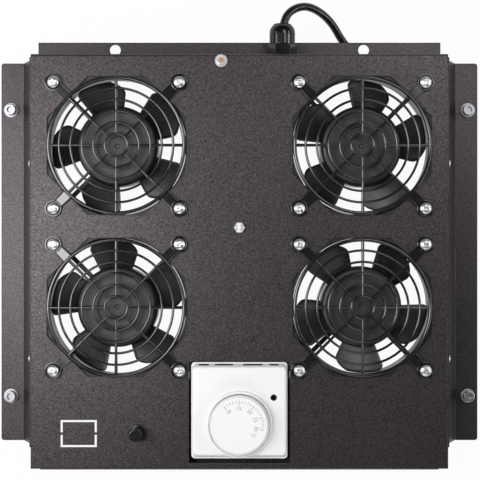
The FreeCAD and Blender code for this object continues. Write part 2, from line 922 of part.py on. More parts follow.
def blade():
    """One twisted blade: steep at the hub, flatter at the tip, its tip corners cut back."""
    root_out = S.hub - S.hub_round
    sections = [
        blade_section("blade_root", root_out, S.blade_root_low, S.blade_root_high),
        blade_section("blade_end", DUCT, S.blade_tip_low, S.blade_tip_high),
    ]
    loft = DOC.addObject("Part::Loft", "blade_sheet")
    loft.Sections = sections
    loft.Solid = True
    edge = S.blade_span / 2
    lead_out = BLADE_TIP - S.blade_lead_round * 0.7
    plan = [
        (0, 0),
        (*polar(lead_out, -edge), S.blade_round),
        (*polar(BLADE_TIP + 0.6, -edge + S.blade_lead_round), S.blade_round),
        polar(BLADE_TIP + S.blade_bow, 6 - edge / 6),
        (*polar(BLADE_TIP + S.blade_heel, edge - 5), 2),
        (*polar(BLADE_TIP - S.blade_trail_round / 2, edge), 2.5),
    ]
    wedge = extruded("blade_plan", plan, 0, S.fan_depth)
    band = tube("blade_band", S.hub - 0.8, BLADE_TIP, 0, S.fan_depth)
    return common("blade_shape", loft, wedge, band)


def make_fans():
    """Four fans: frames, stators and turning parts, with their bearings in one node."""
    frame, core, cup, cap = fan_frame(), stator(), rotor(), hub()
    blades = ring_of("blade", blade(), S.blade_count)
    wheel = fuse("impeller_master", cap, *blades)
    bearing = tube("bearing_shape", S.bearing_bore, S.bearing_rim, 0, S.bearing_height)
    bearings = []
    for number, (x, y) in FANS.items():
        at = (x, S.panel_y + y, FACE + FAN_LOW)
        turn = getattr(S, f"turn_fan_{number}")
        keep(place(copy_of(f"fan_{number}_frame", frame), *at))
        keep(place(copy_of(f"fan_{number}_stator", core), *at, (0, 0, 1), 45))
        keep(place(copy_of(f"fan_{number}_impeller", wheel), *at, (0, 0, 1), turn))
        keep(place(copy_of(f"fan_{number}_rotor", cup), *at))
        seats = (S.motor_plate_thick + 1, S.tube_top - S.bearing_height - 1)
        for seat in seats:
            name = f"bearing_{number}_{len(bearings)}"
            up = FACE + FAN_LOW + seat
            bearings.append(place(copy_of(name, bearing), x, S.panel_y + y, up))
    keep(group("fan_bearings", bearings))


# ---------------------------------------------------------------- finger guards


def finger_guard():
    """Moulded guard: rings on eight spokes, a deeper rim, and four ribbed legs to screw eyelets."""
    half = S.ring_width / 2
    rings = [
        tube(f"ring_{k}", RING_PITCH * k - half, RING_PITCH * k + half, S.ring_low, S.guard_height)
        for k in range(1, int(S.ring_count.value) + 1)
    ]
    rim = tube("guard_rim", DUCT - S.rim_width, DUCT, 0, S.guard_height)
    spoke_ends = (RING_PITCH, DUCT - S.rim_width / 2)
    side = S.spoke_width / 2
    spoke = box("spoke", spoke_ends, (-side, side), (S.spoke_low, S.spoke_high))
    eye = SCREW_OUT * math.sqrt(2)
    inner = DUCT - S.rim_width / 2
    web = [
        (inner, -S.leg_root / 2),
        (eye, -S.leg_end / 2),
        (eye, S.leg_end / 2),
        (inner, S.leg_root / 2),
    ]
    rib_end = eye - S.eyelet * 0.8
    narrow = S.leg_end / 2 + (S.leg_root - S.leg_end) / 2 * (eye - rib_end) / (eye - inner)
    ribs = [
        extruded(
            f"leg_rib_{k + 1}",
            [
                (inner, k * (S.leg_root / 2 - S.leg_rib)),
                (rib_end, k * (narrow - S.leg_rib)),
                (rib_end, k * narrow),
                (inner, k * S.leg_root / 2),
            ],
            0,
            S.leg_rib_height,
        )
        for k in SIDES
    ]
    eyelet = rod("eyelet_shape", S.eyelet, 0, S.eyelet_height, eye, 0)
    leg = fuse("leg", extruded("leg_web", web, 0, S.leg_thick), *ribs, eyelet)
    body = fuse(
        "guard_body", *rings, rim, *ring_of("spoke", spoke, 8), *ring_of("leg", leg, 4, 45)
    )
    bore = S.guard_screw + S.guard_screw_play
    holes = [
        rod(f"eyelet_hole_{k}", bore, -1, S.eyelet_height + 1, x, y)
        for k, (x, y) in enumerate(fan_corners(0, 0))
    ]
    return cut("guard_master", body, *holes)


def cross_recess(name, reach, low, high):
    """A cross-shaped recess for a screwdriver."""
    width = reach * 0.3
    return fuse(
        name,
        box(f"{name}_across", (-reach, reach), (-width, width), (low, high)),
        box(f"{name}_along", (-width, width), (-reach, reach), (low, high)),
    )


def guard_screw():
    """Pan-head machine screw with a cross recess, its head's underside at zero."""
    head, crown = S.guard_screw_head, S.guard_screw_crown
    blank = turned(
        "guard_screw_blank",
        [
            (0, -S.guard_screw_length),
            (S.guard_screw - 0.3, -S.guard_screw_length),
            (S.guard_screw, -S.guard_screw_length + 0.5),
            (S.guard_screw, 0),
            (head, 0),
            (head, crown * 0.5),
            (head * 0.72, crown, 1.4),
            (0, crown),
        ],
    )
    return cut("guard_screw_master", blank, cross_recess("guard_cross", head * 0.45, crown * 0.35, crown + 1))


def make_guards():
    """A guard on every fan, screwed through the panel into nuts under the frame's flange."""
    guard, screw = finger_guard(), guard_screw()
    under = -(S.sheet + S.fan_flange)
    bore = S.guard_screw + S.thread_play
    nut = fastener_nut("guard_nut", S.guard_nut_across, bore, under - S.guard_nut_height, under)
    screws, nuts = [], []
    for number, (x, y) in FANS.items():
        keep(on_panel(copy_of(f"finger_guard_{number}", guard), x, y))
        for corner, (u, v) in enumerate(fan_corners(x, y)):
            name = f"{number}_{corner}"
            screws.append(on_panel(copy_of(f"guard_screw_{name}", screw), u, v, S.eyelet_height))
            nuts.append(on_panel(copy_of(f"guard_nut_{name}", nut), u, v))
    keep(group("guard_screws", screws))
    keep(group("guard_nuts", nuts))


# ---------------------------------------------------------------- thermostat


def thermostat_screw_places():
    return [(k * S.stat_screw_out, STAT_Y + S.stat_screw_back) for k in SIDES]


def make_thermostat_bracket():
    """Folded cradle between front wall and panel that holds the thermostat in its window."""
    thick = S.bracket_sheet
    floor = -S.stat_depth
    front = -(HALF_DEPTH + S.front_proud - S.sheet)
    rear = STAT_Y + S.stat_size / 2 + S.bracket_rear_gap
    wide = S.stat_size / 2 + S.bracket_margin
    narrow = FAN_OUT - S.fan_size / 2 - S.bracket_fan_gap
    shoulder = FAN_FRONT_ROW - S.fan_size / 2 - 1
    parts = [
        box("bracket_wide", (-wide, wide), (front, shoulder), (floor - thick, floor)),
        box("bracket_narrow", (-narrow, narrow), (front, rear + thick), (floor - thick, floor)),
        box("bracket_back", (-narrow, narrow), (rear, rear + thick), (floor - thick, -S.sheet)),
        box(
            "bracket_lap",
            (-narrow, narrow),
            (rear, rear + S.bracket_lap + thick),
            (-S.sheet - thick, -S.sheet),
        ),
        box("bracket_tab", (-wide, wide), (front, front + thick), (floor - thick, floor + S.bracket_lap)),
    ]
    level = (floor - 2 * thick, floor + thick)
    holes = [
        rod(f"bracket_hole_{k}", S.bracket_hole, *level, x, y)
        for k, (x, y) in enumerate(thermostat_screw_places())
    ]
    keep(on_panel(cut("thermostat_bracket", fuse("bracket_body", *parts), *holes)))


def shifted(outline, y):
    return [(corner[0], y + corner[1], *corner[2:]) for corner in outline]


def oblong(half_x, half_y, radius):
    return [(i * half_x, j * half_y, radius) for i, j in ((-1, -1), (1, -1), (1, 1), (-1, 1))]


def drafted(name, levels):
    """The cover's tapering block through (height, inset) levels; the inset makes it smaller all round."""
    foot = S.stat_size / 2 - S.cover_step
    corner = S.stat_corner + 0.5
    sections = []
    for number, (level, inset) in enumerate(levels):
        share = dim(level) / S.cover_lift
        half_x = foot - (foot - S.cover_width / 2) * share - inset
        half_y = foot - (foot - S.cover_height / 2) * share - inset
        outline = shifted(oblong(half_x, half_y, corner), STAT_Y + 0.5 * share)
        drawing = sketch(f"{name}_{number}", outline)
        bind(drawing, "Placement.Base.z", level)
        sections.append(drawing)
    loft = DOC.addObject("Part::Loft", name)
    loft.Sections = sections
    loft.Solid = True
    loft.Ruled = True
    return loft


def make_thermostat():
    """Room thermostat: base, cover with collar and vents, dial on a spindle, bimetal and switch."""
    half, wall = S.stat_size / 2, S.stat_wall
    low = -S.stat_depth
    outer = extruded("base_outer", shifted(oblong(half, half, S.stat_corner), STAT_Y), low, 0)
    hollow = shifted(oblong(half - wall, half - wall, S.stat_corner - 1), STAT_Y)
    inner = extruded("base_inner", hollow, low + S.stat_floor, 1)
    footing = rod("spindle_boss", 7, low, low + 8, 0, DIAL_Y)
    bore = S.spindle + S.spindle_play
    socket = rod("spindle_socket", bore, S.spindle_foot, 0, 0, DIAL_Y)
    screw_places = thermostat_screw_places()
    holes = [
        rod(f"base_hole_{k}", S.bracket_hole, low - 1, low + S.stat_floor + 1, x, y)
        for k, (x, y) in enumerate(screw_places)
    ]
    shell = cut("base_shell", outer, inner)
    keep(on_panel(cut("thermostat_base", fuse("base_body", shell, footing), socket, *holes)))

    collar = turned(
        "collar",
        [(0, 0), (S.collar_foot, 0), (S.collar_lip, S.collar_top, 0.8), (0, S.collar_top)],
    )
    seat = S.cover_lift + 0.6
    edge = S.cover_edge
    skin = [
        (0, 0),
        (S.cover_lift - edge, 0),
        (S.cover_lift - edge * 0.3, edge * 0.3),
        (S.cover_lift, edge),
    ]
    cover = [
        fuse("cover_outer", drafted("cover_block", skin), place(collar, 0, DIAL_Y)),
        drafted("cover_hollow", [(-1, wall), (S.cover_lift - wall, wall)]),
        rod("dial_recess", S.dial + S.dial_play, seat, S.collar_top + 1, 0, DIAL_Y),
        rod("spindle_hole", bore, -1, S.collar_top, 0, DIAL_Y),
        rod("lamp_hole", S.lamp_hole, 0, S.cover_lift + 1, S.lamp_x, STAT_Y + S.lamp_back),
    ]
    vents = ((-29.4, 8.3), (-12.7, 15.3), (11.2, 16.6), (28.9, 8))
    for end in SIDES:
        wall_y = STAT_Y + end * (half - S.cover_step - wall / 2)
        for k, (x, length) in enumerate(vents):
            if end > 0 or abs(x) > 20:
                across = (dim(x) - length / 2, dim(x) + length / 2)
                along = (wall_y - 2 * wall, wall_y + 2 * wall)
                level = (dim(1.4), 1.4 + S.vent_height)
                cover.append(box(f"vent_{end + 1}_{k}", across, along, level))
    keep(on_panel(cut("thermostat_cover", *cover)))

    under = seat + 0.3
    dial = turned(
        "dial_shape",
        [
            (S.spindle + S.bearing_play, under),
            (S.dial, under),
            (S.dial, S.dial_top - 3, 0.6),
            (S.dial - S.dial_edge, S.dial_top, 0.8),
            (S.dial - S.dial_edge - S.dial_rim, S.dial_top),
            (S.dial - S.dial_edge - S.dial_rim, S.dial_top - S.dial_sink),
            (0, S.dial_top - S.dial_sink),
            (0, S.dial_top - 3),
            (S.spindle + S.bearing_play, S.dial_top - 3),
        ],
    )
    grips = ring_of("grip", place_grip(), 30)
    notched = cut("dial_notched", dial, *grips)
    keep(on_panel(group("thermostat_dial", [place(copy_of("dial_set", notched), 0, DIAL_Y)])))
    spindle = rod("spindle_shape", S.spindle, S.spindle_foot + 0.2, S.dial_top - 3.2)
    flat = box("spindle_flat", (S.spindle - 0.8, S.spindle + 1), (-4, 4), (seat + 1, S.dial_top))
    cam = rod("spindle_cam", 8, -7, -4, 1.5, 0)
    turning = fuse("spindle_body", cut("spindle_cut", spindle, flat), cam)
    keep(on_panel(group("thermostat_spindle", [place(turning, 0, DIAL_Y)])))

    floor = low + S.stat_floor
    near = STAT_Y + 15.2
    switch = fuse(
        "switch_body",
        box("switch_case", (-31, -13), (near, near + 9), (floor, floor + 9)),
        box("switch_plunger", (-24, -21), (near - 1.6, near), (floor + 3, floor + 6)),
    )
    switch.Label = "thermostat_switch"
    keep(on_panel(switch))
    strip = [(10, -3), (31, -3), (31, -2), (11, -2), (11, 4), (10, 4)]
    bimetal = extruded("bimetal_strip", shifted(strip, near), floor, floor + 12)
    bimetal.Label = "thermostat_bimetal"
    keep(on_panel(bimetal))
    tip, crown = low - S.stat_screw_grip, floor + S.stat_screw
    screw = turned(
        "base_screw",
        [
            (0, tip),
            (S.stat_screw, tip),
            (S.stat_screw, floor),
            (S.stat_screw_head, floor),
            (S.stat_screw_head, crown - 0.4, 0.6),
            (0, crown),
        ],
    )
    screws = [
        place(copy_of(f"base_screw_{k}", screw), x, y) for k, (x, y) in enumerate(screw_places)
    ]
    keep(on_panel(group("thermostat_screws", screws)))


def place_grip():
    """A shallow flute on the dial's skirt, at +X."""
    return rod("dial_flute", 0.5, 0, S.dial_top - 3.5, S.dial + 0.25, 0)


# ---------------------------------------------------------------- fuse holder and studs


def make_fuse_holder():
    """Panel-mounting fuse holder: body, nut, bayonet cap with carrier, fuse link and contact."""
    thread = S.fuse_bushing
    bore, flange = S.fuse_bore, S.fuse_flange_height
    body = turned(
        "fuse_body",
        [
            (bore, -S.fuse_tail_depth + 1.8),
            (bore, flange),
            (S.fuse_flange, flange, 0.5),
            (S.fuse_flange, 0),
            (thread, 0),
            (thread, -S.fuse_bushing_depth),
            (S.fuse_tail, -S.fuse_bushing_depth),
            (S.fuse_tail, -S.fuse_tail_depth),
            (1.8, -S.fuse_tail_depth),
            (1.8, -S.fuse_tail_depth + 1.8),
        ],
    )
    nut_top = -S.sheet
    nut = fastener_nut(
        "fuse_nut", S.fuse_nut_across, thread + S.thread_play, nut_top - S.fuse_nut_height, nut_top
    )
    carrier = bore - S.fuse_running
    slot = box("fuse_slot", (-S.fuse_cap * 0.7, S.fuse_cap * 0.7), (-0.6, 0.6), (14.6, 17))
    cap = turned(
        "fuse_cap_shape",
        [
            (0, S.fuse_link_top),
            (S.fuse_link + 0.15, S.fuse_link_top),
            (S.fuse_link + 0.15, -S.fuse_carrier_depth),
            (carrier, -S.fuse_carrier_depth),
            (carrier, flange + 0.3),
            (S.fuse_cap, flange + 0.3),
            (S.fuse_cap, S.fuse_cap_top, 0.8),
            (0, S.fuse_cap_top),
        ],
    )
    top = S.fuse_link_top
    link = turned(
        "fuse_link_shape",
        [
            (0, top - S.fuse_link_length),
            (S.fuse_link, top - S.fuse_link_length),
            (S.fuse_link, top),
            (0, top),
        ],
    )
    contact = turned(
        "fuse_contact_shape",
        [
            (0, -S.fuse_tail_depth - 6),
            (1.2, -S.fuse_tail_depth - 6),
            (1.2, -S.fuse_tail_depth - 1.2),
            (3, -S.fuse_tail_depth - 1.2),
            (3, -S.fuse_tail_depth),
            (1.6, -S.fuse_tail_depth),
            (1.6, top - S.fuse_link_length),
            (0, top - S.fuse_link_length),
        ],
    )
    pieces = {
        "fuse_holder_body": body,
        "fuse_holder_nut": nut,
        "fuse_cap": cut("fuse_cap_cut", cap, slot),
        "fuse_link": link,
        "fuse_contact": contact,
    }
    for label, piece in pieces.items():
        thing = on_panel(group(f"{label}_at", [piece]), FUSE_X, FUSE_Y)
        thing.Label = label
        keep(thing)


def make_studs():
    """Earth stud with washer and nut, and the centre bolt that carries the terminal block."""
    at = (S.earth_x, HALF_DEPTH - S.earth_back_inset)
    shank = S.earth_stud
    stud = turned(
        "earth_stud_shape",
        [
            (0, 0),
            (shank + 0.8, 0),
            (shank + 0.8, 0.6),
            (shank, 0.6),
            (shank, S.earth_stud_height - 0.4),
            (shank - 0.4, S.earth_stud_height),
            (0, S.earth_stud_height),
        ],
    )
    low = 0.7
    washer = tube("earth_washer_shape", shank + 0.15, S.earth_washer, low, low + S.earth_washer_thick)
    seat = low + S.earth_washer_thick
    nut = fastener_nut(
        "earth_nut_shape", S.earth_nut_across, shank + S.thread_play, seat, seat + S.earth_nut_height
    )
    for label, piece in (("earth_stud", stud), ("earth_washer", washer), ("earth_nut", nut)):
        thing = on_panel(group(f"{label}_at", [piece]), *at)
        thing.Label = label
        keep(thing)

    shank = S.centre_bolt
    block_top = -S.sheet
    ledge = block_top - S.block_height + S.block_step
    bolt = turned(
        "centre_bolt_shape",
        [
            (0, ledge - 3),
            (4.2, ledge - 3, 0.8),
            (4.2, ledge),
            (shank, ledge),
            (shank, S.centre_bolt_tip - 0.5),
            (shank - 0.5, S.centre_bolt_tip),
            (0, S.centre_bolt_tip),
        ],
    )
    thick = S.centre_washer_thick
    washer = tube("centre_washer_shape", shank + 0.15, S.centre_washer, 0, thick)
    nut = fastener_nut(
        "centre_nut_shape", S.centre_nut_across, shank + S.thread_play, thick, thick + S.centre_nut_height
    )
    half_x, half_y = S.block_length / 2, S.block_width / 2
    blank = box("block_blank", (-half_x, half_x), (-half_y, half_y), (block_top - S.block_height, block_top))
    tools = [rod("block_bore", shank + 0.15, block_top - S.block_height - 1, 0)]
    tools.append(rod("block_counterbore", 5, block_top - S.block_height - 1, ledge))
    screw = turned(
        "terminal_screw",
        [
            (0, block_top - S.block_height + 1.4),
            (2, block_top - S.block_height + 1.4),
            (2, block_top - S.block_height + 7),
            (0, block_top - S.block_height + 7),
        ],
    )
    screws = []
    for k, x in enumerate((-1.5, -0.75, 0.75, 1.5)):
        for j in SIDES:
            spot = (S.block_pitch * x * 0.85, j * 6)
            level = (block_top - S.block_height - 1, block_top - S.block_height + 7)
            tools.append(rod(f"terminal_well_{k}_{j + 1}", 2.05, *level, *spot))
            screws.append(place(copy_of(f"terminal_screw_{k}_{j + 1}", screw), *spot))
    pieces = {
        "centre_bolt": bolt,
        "centre_washer": washer,
        "centre_nut": nut,
        "terminal_block": cut("block_cut", blank, *tools),
        "terminal_screws": group("terminal_screw_set", screws),
    }
    for label, piece in pieces.items():
        thing = on_panel(group(f"{label}_at", [piece]), 0, CENTRE_Y)
        thing.Label = label
        keep(thing)


# ---------------------------------------------------------------- gland and mains lead


def make_gland():
    """Cable gland through the back wall: body, locknut, dome nut and the seal on the lead."""
    hexagon, spigot = S.gland_hex, S.gland_spigot
    thread_end = hexagon + S.gland_thread_length
    body = fuse(
        "gland_solid",
        prism("gland_hexagon", 6, S.gland_across, 0, hexagon),
        rod("gland_spigot_rod", spigot, -S.gland_spigot_length, 1),
        rod("gland_thread_rod", S.gland_thread, hexagon - 1, thread_end),
    )
    seal_low, seal_high = hexagon - 3, thread_end - 3
    bore = tube("gland_seal_shape", S.cord, S.gland_bore, seal_low, seal_high)
    through = rod("gland_through", S.gland_bore, -S.gland_spigot_length - 1, thread_end + 1)
    nut_low = hexagon + 0.3
    nut_high = nut_low + S.gland_nut_length
    dome = turned(
        "gland_dome",
        [
            (S.gland_thread + S.thread_play, nut_low),
            (S.gland_nut, nut_low, 0.5),
            (S.gland_nut, nut_low + S.gland_nut_length * 0.55, 6),
            (S.gland_mouth + 2, nut_high, 1),
            (S.gland_mouth, nut_high),
            (S.gland_mouth, thread_end + 0.5),
            (S.gland_thread + S.thread_play, thread_end + 0.5),
        ],
    )
    flute = box("gland_flute", (S.gland_nut - 0.5, S.gland_nut + 1), (-1.1, 1.1), (nut_low - 1, nut_low + 8))
    inside = -S.sheet
    locknut = fastener_nut(
        "locknut", S.locknut_across, spigot + S.thread_play, inside - S.locknut_height, inside
    )
    pieces = {
        "gland_body": cut("gland_bored", body, through),
        "gland_nut": cut("gland_fluted", dome, *ring_of("gland_flute", flute, 12)),
        "gland_seal": bore,
        "gland_locknut": locknut,
    }
    for label, piece in pieces.items():
        thing = group(f"{label}_at", [piece])
        on_panel(thing, S.gland_x, HALF_DEPTH, -S.gland_drop, (1, 0, 0), -90)
        thing.Label = label
        keep(thing)


def route(points):
    """A path of straight runs joined by tangent arcs, each arc as large as its runs allow."""
    spots = [Vector(*(dim(v).value for v in point)) for point in points]
    edges, radii = [], []
    here = spots[0]
    for number in range(1, len(spots) - 1):
        before, corner, after = spots[number - 1], spots[number], spots[number + 1]
        inward, onward = (corner - before), (after - corner)
        back = 0.45 * min(inward.Length, onward.Length)
        turn = inward.getAngle(onward)
        radii.append(back / math.tan(turn / 2))
        inward, onward = inward.normalize(), onward.normalize()
        start, end = corner - inward * back, corner + onward * back
        bisector = (onward - inward).normalize()
        reach = radii[-1] / math.cos(turn / 2) - radii[-1]
        edges.append(Part.LineSegment(here, start).toShape())
        edges.append(Part.Arc(start, corner + bisector * reach, end).toShape())
        here = end
    edges.append(Part.LineSegment(here, spots[-1]).toShape())
    return Part.Wire(edges), radii


def lead(label, points, *meets):
    """A length of flexible lead along its route, ending on the pieces it meets."""
    wire, radii = route(points)
    radius = S.cord.value
    first = wire.Edges[0]
    section = Part.Wire(Part.Circle(first.firstVertex().Point, first.tangentAt(0), radius).toShape())
    solid = wire.makePipeShell([section], True, True)
    share = solid.Volume / (math.pi * radius**2 * wire.Length)
    print(f"{label}: {wire.Length:.0f} mm, volume share {share:.4f}")
    print("  bend radii", " ".join(f"{bend:.0f}" for bend in radii))
    for piece in meets:
        solid = solid.cut(piece.Shape)
    thing = DOC.addObject("Part::Feature", label)
    thing.Shape = solid.Solids[0] if solid.Solids else solid
    return keep(thing)


def from_panel(x, y, z):
    """A route point over the floor at a place measured from the panel's middle."""
    return dim(x), S.panel_y + y, dim(z)


def make_cord():
    """The mains lead: out of the gland, down to the floor, round under the tray to its coil and plug."""
    coil = turned(
        "coil_ring",
        [
            (S.coil_inner, 0, 3),
            (S.coil_outer, 0, 3),
            (S.coil_outer, 4 * S.cord, 3),
            (S.coil_inner, 4 * S.cord, 3),
        ],
    )
    placed = place(group("cord_coil", [coil]), S.coil_x, S.panel_y + S.coil_y)
    keep(placed)
    DOC.recompute()
    seal_y = HALF_DEPTH + S.gland_hex + S.gland_thread_length - 3
    lie = S.cord
    lead(
        "supply_cord",
        [
            from_panel(S.gland_x, seal_y, FACE - S.gland_drop),
            from_panel(36.8, 203, 38.4),
            from_panel(44.5, 214.5, 35.5),
            from_panel(60, 219.5, 26.5),
            from_panel(79, 209.5, 13),
            from_panel(91.5, 189, 4.2),
            from_panel(110, 172, lie),
            from_panel(138, 163, lie),
            from_panel(160, 145, lie),
            from_panel(173, 120, lie),
            from_panel(176, 92, lie),
            from_panel(172, 64, lie),
            from_panel(158, 42, lie),
            from_panel(136, 30.5, lie),
            from_panel(108, 28.5, lie),
            from_panel(80, 29.5, lie),
            from_panel(52, 27.5, lie),
            from_panel(12, 27, lie),
        ],
        placed,
    )
    plug_at = from_panel(-22.9, -55.4, 10)
    lead(
        "cord_tail",
        [
            from_panel(-8, 27.6, 10.5),
            from_panel(-23, 21.6, 9.5),
            from_panel(-34.5, 7.7, 6.5),
            from_panel(-38.6, -12.5, 4.5),
            from_panel(-31.9, -33.0, 6),
            plug_at,
        ],
        placed,
    )
    make_plug(plug_at)


def make_plug(at):
    """Moulded inline plug with a hooded three-pin end, drawn along +X from the lead's end."""
    half_w, half_h = S.plug_width / 2, S.plug_height / 2
    boot = S.plug_boot_length
    grip_end = boot + S.plug_grip_length
    hood_end = grip_end + S.plug_hood_length

    def outline(inset, radius):
        return [(i * (half_w - inset), j * (half_h - inset), radius) for i, j in CORNERS]

    boot_cone = DOC.addObject("Part::Cone", "plug_boot")
    bind(boot_cone, "Radius1", S.cord + 1.2)
    bind(boot_cone, "Radius2", S.cord + 3.4)
    bind(boot_cone, "Height", boot + 1)
    place(boot_cone, axis=(0, 1, 0), turn=90)
    grip = extruded("plug_grip", outline(0, 4), boot, grip_end, (1, 0, 0))
    hood = extruded("plug_hood", outline(1.2, 3), grip_end - 1, hood_end, (1, 0, 0))
    hollow_shape = outline(1.2 + S.plug_hood_wall, 2)
    hollow = extruded("plug_hollow", hollow_shape, grip_end, hood_end + 1, (1, 0, 0))
    pins = []
    for k, (across, up) in enumerate(((-7, -1.5), (0, 2.5), (7, -1.5))):
        span = (dim(across) - 1, dim(across) + 1)
        level = (dim(up) - 2, dim(up) + 2)
        pins.append(box(f"pin_{k}", (grip_end - 6, hood_end - 2.5), span, level))
    sockets = [copy_of(f"pin_socket_{k}", pin) for k, pin in enumerate(pins)]
    body = cut("plug_body", fuse("plug_solid", boot_cone, grip, hood), hollow, *sockets)
    for label, piece in (("mains_plug", body), ("plug_pins", group("pin_set", pins))):
        thing = place(group(f"{label}_at", [piece]), *at, (0, 0, 1), S.plug_heading)
        thing.Label = label
        keep(thing)


CORNERS = ((-1, -1), (1, -1), (1, 1), (-1, 1))


# ---------------------------------------------------------------- build, check, export


def main():
    make_tray_pan()
    make_rails()
    make_rail_rivets()
    make_mounting_hardware()
    make_fans()
    make_guards()
    make_thermostat_bracket()
    make_thermostat()
    make_fuse_holder()
    make_studs()
    make_gland()
    make_cord()
    DOC.recompute()
    for thing in DOC.Objects:
        if "Invalid" in thing.State or "Error" in thing.State:
            raise RuntimeError(f"{thing.Label} did not compute: {thing.State}")
    os.makedirs("parts", exist_ok=True)
    for piece in PARTS:
        shape = piece.Shape
        if shape.isNull() or not shape.isValid() or not shape.Solids:
            raise RuntimeError(f"{piece.Label} has no valid solid")
        shape.exportStep(f"parts/{piece.Label}.step")
        box_of = shape.BoundBox
        print(
            f"{piece.Label}: {len(shape.Solids)} solids, {shape.Volume / 1000:.2f} cm3, "
            f"z {box_of.ZMin:.1f} to {box_of.ZMax:.1f}"
        )


main()
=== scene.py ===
"""Dresses a rack fan tray: finishes for its solids, and finer guards, impellers, screws and lead."""

import json
import math

import bmesh
import bpy
import numpy as np
from bpy.props import FloatProperty, FloatVectorProperty, PointerProperty
from bpy.types import Operator, Panel, PropertyGroup
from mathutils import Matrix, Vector


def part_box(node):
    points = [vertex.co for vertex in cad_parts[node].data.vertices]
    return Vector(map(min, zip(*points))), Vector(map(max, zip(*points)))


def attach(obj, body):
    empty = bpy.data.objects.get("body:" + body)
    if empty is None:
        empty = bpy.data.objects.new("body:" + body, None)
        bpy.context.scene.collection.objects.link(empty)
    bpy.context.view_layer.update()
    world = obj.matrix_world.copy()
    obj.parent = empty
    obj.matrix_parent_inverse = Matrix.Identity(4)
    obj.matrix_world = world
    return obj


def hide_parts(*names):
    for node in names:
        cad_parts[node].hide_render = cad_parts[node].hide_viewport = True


bl_info = {
    "name": "Rack fan tray",
    "version": (1, 0, 0),
    "blender": (4, 5, 0),
    "location": "View3D > Sidebar > Fan tray",
    "description": "Dresses a rack fan tray with its finishes, guards, impellers, screws and lead",
    "category": "Object",
}

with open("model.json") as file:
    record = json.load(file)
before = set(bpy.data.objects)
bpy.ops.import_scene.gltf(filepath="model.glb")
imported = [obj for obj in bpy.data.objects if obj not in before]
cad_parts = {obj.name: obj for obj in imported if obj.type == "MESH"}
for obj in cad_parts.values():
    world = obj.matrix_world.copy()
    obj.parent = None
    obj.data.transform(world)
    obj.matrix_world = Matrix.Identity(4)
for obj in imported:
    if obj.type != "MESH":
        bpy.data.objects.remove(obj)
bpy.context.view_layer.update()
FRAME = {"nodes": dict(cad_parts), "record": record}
MM = 0.001
TURN = 2 * math.pi
MERGE = 2e-6  # metres: points nearer than this become one
SLIVER = 1e-6  # metres: faces thinner than this are taken out

FANS = (1, 2, 3, 4)
FIRST_BLADES = (106.3, 80, 93.4, 51.6)  # degrees, where each fan's first blade rests
BLADES = 5
RINGS = 5
SPOKES = 8
LEGS = 4

SENSOR = 36  # millimetres
LENS = 93.6  # millimetres
CAMERA_PLACE = (0.0005, 0.01045, 1.0989)
CAMERA_REACH = 20  # metres
# Soft lamps: name, the setting with its strength, place and size in metres.
LAMPS = (
    ("high_box", "high", (-0.62, 0.05, 1.0), (0.4, 0.9)),
    ("back_box", "back", (0.38, 0.42, 1.05), (0.5, 0.35)),
    ("left_strip", "left", (-0.95, 0.0, 0.6), (0.9, 0.12)),
    ("right_strip", "right", (0.95, 0.05, 0.55), (0.9, 0.12)),
    ("front_strip", "front", (0.0, -0.95, 0.55), (0.9, 0.12)),
)
LAMP_AIM = (0.0, 0.0, 0.05)
HORIZON = (0.05, 0.18)  # upward part of a direction where the horizon's white starts and ends to fade
FLOOR_REACH = 12.0  # metres from the middle to an edge
FLOOR_DROP = 0.0002  # metres under the tray
FLOOR_GLOW = 0.95  # share of plain white in the floor where it is seen directly


# ---------------------------------------------------------------- sizes and colours


def millimetres(name, description, default):
    """A length kept in metres, given here in millimetres."""
    return FloatProperty(
        name=name, description=description, default=default * MM, unit="LENGTH", precision=4
    )


def colour(name, description, default):
    """A base colour, in linear light."""
    return FloatVectorProperty(
        name=name, description=description, default=default, subtype="COLOR", size=3, min=0, max=1
    )


def strength(name, description, default):
    """How strong a light is."""
    return FloatProperty(name=name, description=description, default=default, min=0)


class GuardSizes(PropertyGroup):
    """Sizes of a moulded finger guard."""

    ring_pitch: millimetres("Ring pitch", "Step in radius from one ring to the next", 9.5)
    ring_width: millimetres("Ring width", "Width of a ring seen from above", 2.1)
    rim_outer: millimetres("Rim radius", "Outer radius of the rim", 58)
    rim_width: millimetres("Rim width", "Width of the rim seen from above", 3.2)
    spoke_root: millimetres("Spoke root", "Width of a spoke at the rim", 2.8)
    spoke_end: millimetres("Spoke end", "Width of a spoke at the innermost ring", 1.7)
    height: millimetres("Height", "Top of the rings over the panel", 4.4)
    ring_low: millimetres("Ring underside", "Underside of the rings over the panel", 1.8)
    screw_out: millimetres("Screw distance", "Distance of a screw from the guard's axis", 74.25)
    leg_root: millimetres("Leg root", "Width of a leg at the rim", 9.2)
    leg_end: millimetres("Leg end", "Width of a leg at the eyelet", 7.4)
    eyelet: millimetres("Eyelet radius", "Outer radius of a screw eyelet", 7.2)
    eyelet_height: millimetres("Eyelet height", "Seat of a screw head over the panel", 2.2)


class ImpellerSizes(PropertyGroup):
    """Sizes of a moulded impeller, heights counted from the frame's underside."""

    hub: millimetres("Hub radius", "Outer radius of the hub", 34)
    hub_low: millimetres("Hub underside", "Lower edge of the hub's wall", 6)
    hub_top: millimetres("Hub top", "Top of the hub", 31)
    tip: millimetres("Tip radius", "Radius of the blade tips", 56.6)
    span: FloatProperty(
        name="Blade span",
        description="Angle that one blade covers, seen along the axis",
        default=math.radians(45.5),
        subtype="ANGLE",
    )
    thickness: millimetres("Blade thickness", "Thickness of a blade", 1.8)
    sag: millimetres("Blade sag", "Depth of a blade's hollow", 2.6)


